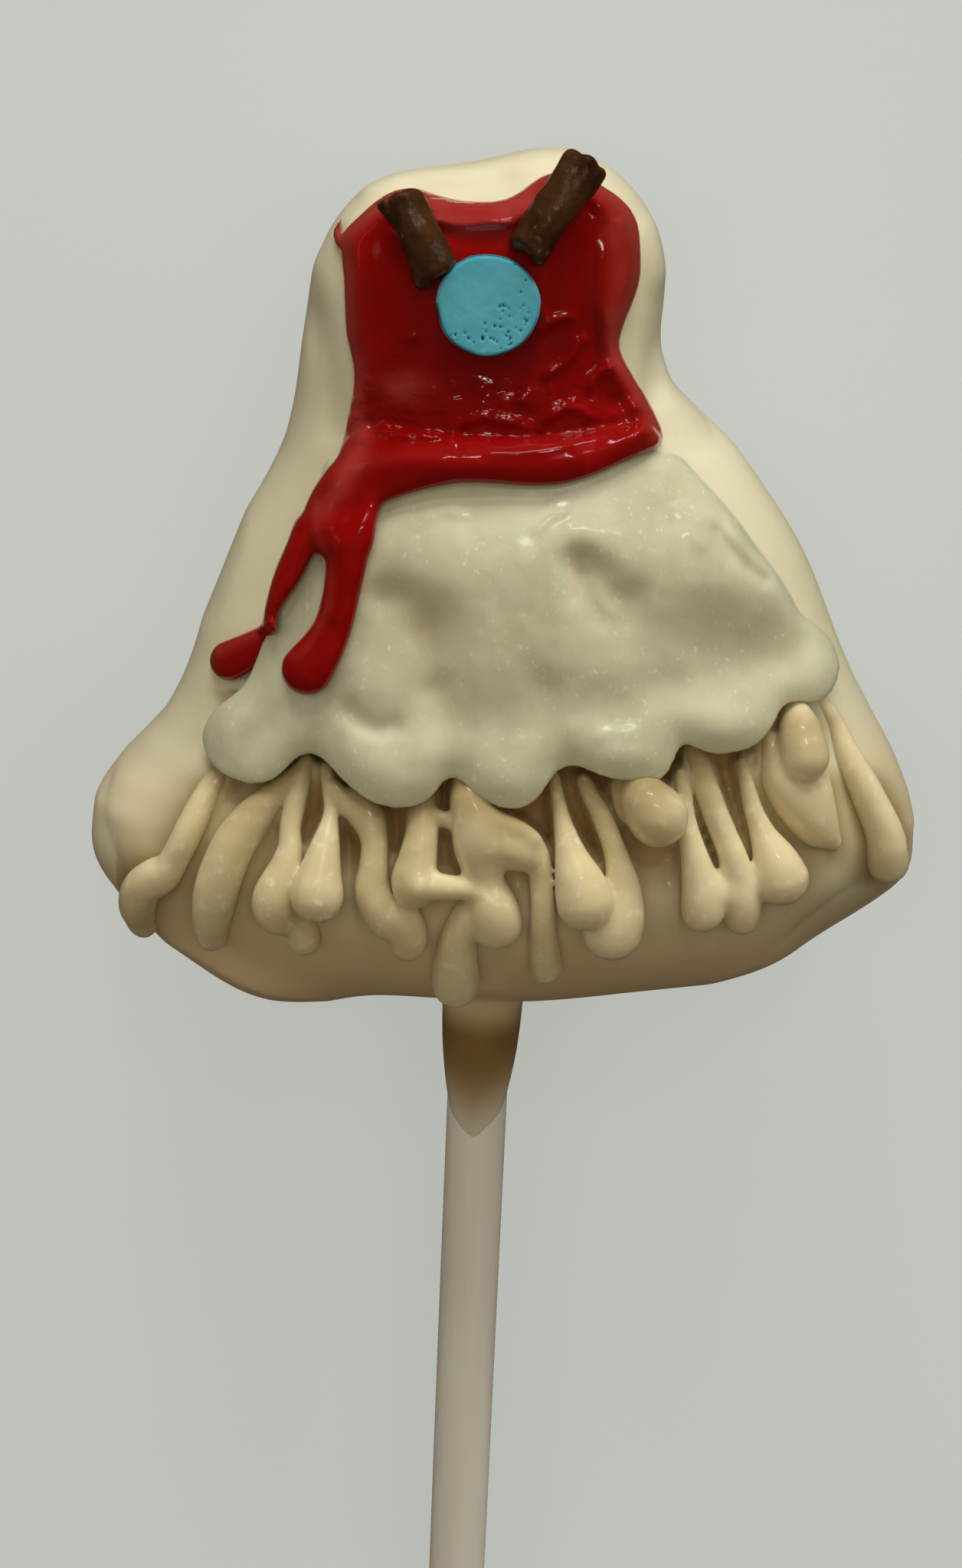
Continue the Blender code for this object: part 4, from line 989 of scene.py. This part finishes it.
def cream_coating():
    mat, tree, shader = nodes_for("cream_coating")
    slow, fine = noise(tree, 70, 3), noise(tree, 900, 4)
    colour = blend(tree, ramp(tree, slow, 0.35, 0.65), (0.76, 0.695, 0.465), (0.81, 0.75, 0.53))
    colour = blend(tree, ramp(tree, fine, 0.45, 0.75), colour, (0.79, 0.73, 0.51))
    brushed = noise(tree, 260, 3, (1.0, 0.18, 0.6))
    # painted shade low on the front of the coating
    colour = blend(tree, attribute(tree, "low"), colour, (0.73, 0.575, 0.335))
    colour = blend(tree, attribute(tree, "thin"), colour, (0.74, 0.69, 0.53))
    # painted shade on the coating run down the stick, partly a thicker coat
    colour = blend(tree, attribute(tree, "run"), colour, (0.255, 0.150, 0.052))
    colour = blend(tree, attribute(tree, "shade"), colour, (0.50, 0.42, 0.28), "MULTIPLY")
    # painted shade in the gaps between the strands
    colour = blend(tree, attribute(tree, "gap_shade"), colour, (0.50, 0.31, 0.12))
    tree.links.new(colour, shader.inputs["Base Color"])
    rough_from(tree, shader, slow, 0.34, 0.46)
    soft_light(shader, 0.35, (1.0, 0.75, 0.42), 0.0011)
    coated(shader, 0.28, 0.13)
    bump(tree, shader, [(brushed, 0.00003), (fine, 0.000012)])
    return mat


def ivory_icing():
    mat, tree, shader = nodes_for("ivory_icing")
    slow, grain = noise(tree, 110, 3), noise(tree, 620, 2, (1.0, 0.42, 1.0))
    flecks = ramp(tree, noise(tree, 3000, 2, (1.0, 0.8, 1.0)), 0.60, 0.74)
    patchy = ramp(tree, noise(tree, 300, 2), 0.36, 0.62)
    flecks = blend(tree, patchy, (0.0, 0.0, 0.0), flecks)
    colour = blend(tree, ramp(tree, slow, 0.35, 0.65), (0.585, 0.575, 0.38), (0.64, 0.632, 0.43))
    colour = blend(tree, ramp(tree, grain, 0.40, 0.70), colour, (0.66, 0.652, 0.458))
    colour = blend(tree, flecks, colour, (0.80, 0.79, 0.63))
    # painted shade in the apron's dents, partly the cake showing through the thinner icing
    colour = blend(tree, attribute(tree, "thin_dent_shade"), colour, (0.66, 0.55, 0.36))
    tree.links.new(colour, shader.inputs["Base Color"])
    rough_from(tree, shader, grain, 0.26, 0.40)
    soft_light(shader, 0.35, (1.0, 0.85, 0.55), 0.0011)
    coated(shader, 0.35, 0.12)
    bump(tree, shader, [(grain, 0.00003), (noise(tree, 1700, 3), 0.000010)])
    return mat


def tan_icing():
    mat, tree, shader = nodes_for("tan_icing")
    slow, fine = noise(tree, 160, 3), noise(tree, 1200, 3)
    colour = blend(tree, ramp(tree, slow, 0.35, 0.65), (0.69, 0.575, 0.325), (0.78, 0.675, 0.415))
    colour = blend(tree, ramp(tree, fine, 0.56, 0.72), colour, (0.84, 0.75, 0.51))
    colour = blend(tree, attribute(tree, "shade"), colour, (0.52, 0.45, 0.34), "MULTIPLY")
    tree.links.new(colour, shader.inputs["Base Color"])
    rough_from(tree, shader, slow, 0.26, 0.40)
    soft_light(shader, 0.35, (1.0, 0.72, 0.38), 0.0010)
    coated(shader, 0.40, 0.10)
    bump(tree, shader, [(fine, 0.000016)])
    return mat


def red_icing():
    mat, tree, shader = nodes_for("red_icing")
    slow, streak = noise(tree, 120, 3), noise(tree, 420, 3, (1.0, 0.25, 1.0))
    colour = blend(tree, ramp(tree, slow, 0.35, 0.68), (0.215, 0.0008, 0.0012), (0.285, 0.0018, 0.0018))
    colour = blend(tree, ramp(tree, streak, 0.55, 0.85), colour, (0.34, 0.004, 0.0035))
    # painted sheen and reflection along the edges and a few streaks of the red icing
    colour = blend(tree, attribute(tree, "painted_sheen"), colour, (0.36, 0.033, 0.026))
    tree.links.new(colour, shader.inputs["Base Color"])
    rough_from(tree, shader, streak, 0.07, 0.17)
    soft_light(shader, 0.15, (1.0, 0.15, 0.10), 0.0009)
    shader.inputs["Specular IOR Level"].default_value = 0.42
    wrinkle = node(tree, "ShaderNodeMath", operation="MULTIPLY")
    tree.links.new(noise(tree, 900, 2, (1.0, 1.5, 1.0)), wrinkle.inputs[0])
    tree.links.new(attribute(tree, "wrinkled"), wrinkle.inputs[1])
    bump(tree, shader, [(wrinkle.outputs[0], 0.00018), (streak, 0.00003), (noise(tree, 1500, 3), 0.000012)])
    return mat


def blue_sugar():
    mat, tree, shader = nodes_for("blue_confetti")
    slow, grain = noise(tree, 420, 4), noise(tree, 2600, 3, (1.0, 0.4, 1.0))
    colour = blend(tree, ramp(tree, slow, 0.35, 0.68), (0.090, 0.455, 0.575), (0.130, 0.525, 0.64))
    colour = blend(tree, ramp(tree, grain, 0.55, 0.75), colour, (0.13, 0.50, 0.58))
    # painted shade in the bottoms of the pits
    colour = blend(tree, attribute(tree, "pit_shade"), colour, (0.010, 0.15, 0.19))
    tree.links.new(colour, shader.inputs["Base Color"])
    shader.inputs["Roughness"].default_value = 0.62
    soft_light(shader, 0.10, (0.4, 0.9, 1.0), 0.0006)
    bump(tree, shader, [(slow, 0.00002), (grain, 0.000010)])
    return mat


def chocolate():
    mat, tree, shader = nodes_for("chocolate")
    slow, scuff = noise(tree, 650, 4), noise(tree, 1500, 4, (1.0, 0.7, 1.0))
    colour = blend(tree, ramp(tree, slow, 0.35, 0.68), (0.030, 0.0100, 0.0024), (0.066, 0.025, 0.0080))
    colour = blend(tree, ramp(tree, scuff, 0.60, 0.78), colour, (0.19, 0.105, 0.055))
    tree.links.new(colour, shader.inputs["Base Color"])
    rough_from(tree, shader, scuff, 0.26, 0.46)
    shader.inputs["Specular IOR Level"].default_value = 0.30
    bump(tree, shader, [(slow, 0.00013), (scuff, 0.00007)])
    return mat


def paper():
    mat, tree, shader = nodes_for("white_paper")
    fibre, slow = noise(tree, 900, 4, (1.0, 0.06, 1.0)), noise(tree, 60, 2, (1, 0.3, 1))
    colour = blend(tree, ramp(tree, slow, 0.35, 0.65), (0.84, 0.81, 0.69), (0.88, 0.86, 0.75))
    colour = blend(tree, ramp(tree, fibre, 0.45, 0.75), colour, (0.91, 0.89, 0.79))
    tree.links.new(colour, shader.inputs["Base Color"])
    rough_from(tree, shader, fibre, 0.48, 0.66)
    bump(tree, shader, [(fibre, 0.00002), (noise(tree, 3000, 2), 0.000006)])
    return mat


TAN = tan_icing()
CHOCOLATE = chocolate()
finish_piece(coated_cake, cream_coating(), "coating", "cake_body")
finish_piece(paper_stick, paper(), "paper_stick", "stick")
finish_piece(ivory_apron, ivory_icing(), "ivory_icing", "apron")
finish_piece(red_bodice, red_icing(), "red_icing", "bodice")
finish_piece(fringe_left, TAN, "tan_icing", "fringe_left")
finish_piece(fringe_middle, TAN, "tan_icing", "fringe_middle")
finish_piece(fringe_right, TAN, "tan_icing", "fringe_right")
finish_piece(fringe_edge, TAN, "tan_icing", "fringe_edge")
finish_piece(blue_disc, blue_sugar(), "blue_confetti", "confetti_disc")
finish_piece(sprinkle_left, CHOCOLATE, "chocolate", "sprinkle_left")
finish_piece(sprinkle_right, CHOCOLATE, "chocolate", "sprinkle_right")

# ---------------------------------------------------------------- floor, light and camera
mesh = bpy.data.meshes.new("floor")
spokes = 64
profile = [(0.6, 0.0), (1.4, 0.0), (1.9, 0.0)] + [(1.9 + 0.5 * math.sin(a), 0.5 - 0.5 * math.cos(a))
                                                  for a in (0.2, 0.4, 0.6, 0.8, 1.0, 1.2, 1.4, math.pi / 2)] + [(2.4, 1.6), (2.4, 3.2)]
around_floor = [(r * math.cos(2 * math.pi * k / spokes), r * math.sin(2 * math.pi * k / spokes), h)
                for r, h in profile for k in range(spokes)]
faces = [tuple(range(spokes))]
for ring in range(len(profile) - 1):
    for k in range(spokes):
        a, b = ring * spokes + k, ring * spokes + (k + 1) % spokes
        faces.append((a, a + spokes, b + spokes, b))
mesh.from_pydata(around_floor, [], faces)
mesh.shade_smooth()
floor = bpy.data.objects.new("floor", mesh)
bpy.context.scene.collection.objects.link(floor)
mat, tree, shader = nodes_for("pale_floor")
shader.inputs["Base Color"].default_value = (0.29, 0.31, 0.32, 1)
shader.inputs["Roughness"].default_value = 0.9
shader.inputs["Specular IOR Level"].default_value = 0.1
shader.inputs["Emission Color"].default_value = (0.955, 1.0, 0.935, 1)
shader.inputs["Emission Strength"].default_value = 0.41
mesh.materials.append(mat)
floor.visible_diffuse = False
floor.visible_glossy = False


def lamp(name, at, aim, size, power, colour):
    data = bpy.data.lights.new(name, "AREA")
    data.shape = "RECTANGLE"
    data.size, data.size_y = size
    data.energy = power
    data.color = colour
    obj = bpy.data.objects.new(name, data)
    bpy.context.scene.collection.objects.link(obj)
    obj.location = at
    obj.rotation_euler = (Vector(aim) - Vector(at)).to_track_quat("-Z", "Y").to_euler()
    return obj


aim = (0.0, 0.0, 0.012)
# broad light for the shading, low behind the neckline and from both sides, and small bright panes for the gloss
for shown, broad in (
    (False, lamp("key_soft", (0.10, 1.15, 0.15), aim, (1.2, 0.26), 12.1, (1.0, 1.0, 0.97))),
    (False, lamp("fill_front", (0.0, 0.05, 1.25), aim, (1.4, 1.4), 4.2, (1.0, 0.94, 0.80))),
    (False, lamp("side_left", (-1.05, 0.20, 0.42), aim, (1.1, 0.75), 1.8, (1.0, 1.0, 0.97))),
    (False, lamp("side_right", (0.95, 0.62, 0.40), aim, (1.1, 0.7), 3.2, (1.0, 1.0, 0.97))),
):
    broad.visible_glossy = shown
lamp("pane_top", (0.02, 0.95, 0.42), aim, (0.34, 0.07), 1.30, (1.0, 0.99, 0.96))
lamp("pane_high", (0.12, 0.62, 0.75), aim, (0.14, 0.05), 0.50, (1.0, 0.99, 0.96))
lamp("pane_left", (-0.75, 0.55, 0.40), aim, (0.3, 0.2), 0.06, (1.0, 0.99, 0.96))

world = bpy.data.worlds.new("studio")
bpy.context.scene.world = world
world.use_nodes = True
sky = world.node_tree.nodes["Background"]
sky.inputs["Color"].default_value = (1.0, 0.72, 0.42, 1)
sky.inputs["Strength"].default_value = 0.065

camera_data = bpy.data.cameras.new("camera")
camera_data.sensor_width = 36.0
camera_data.lens = 36.0 * FOCAL / HIGH
camera_data.clip_start, camera_data.clip_end = 0.005, 10.0
camera = bpy.data.objects.new("camera", camera_data)
bpy.context.scene.collection.objects.link(camera)
right, up, back = Vector(CAM_RIGHT).normalized(), -Vector(CAM_DOWN), -Vector(CAM_AHEAD)
back = right.cross(up).normalized()
up = back.cross(right)
turn = Matrix((right, up, back)).transposed().to_4x4()
camera.matrix_world = Matrix.Translation(Vector((CAM_AT + TO_ROW) * MM)) @ turn
bpy.context.scene.camera = camera

view = bpy.context.scene.view_settings
view.view_transform = "Standard"
view.look = "None"
view.exposure, view.gamma = 0.0, 1.0

bpy.context.view_layer.update()
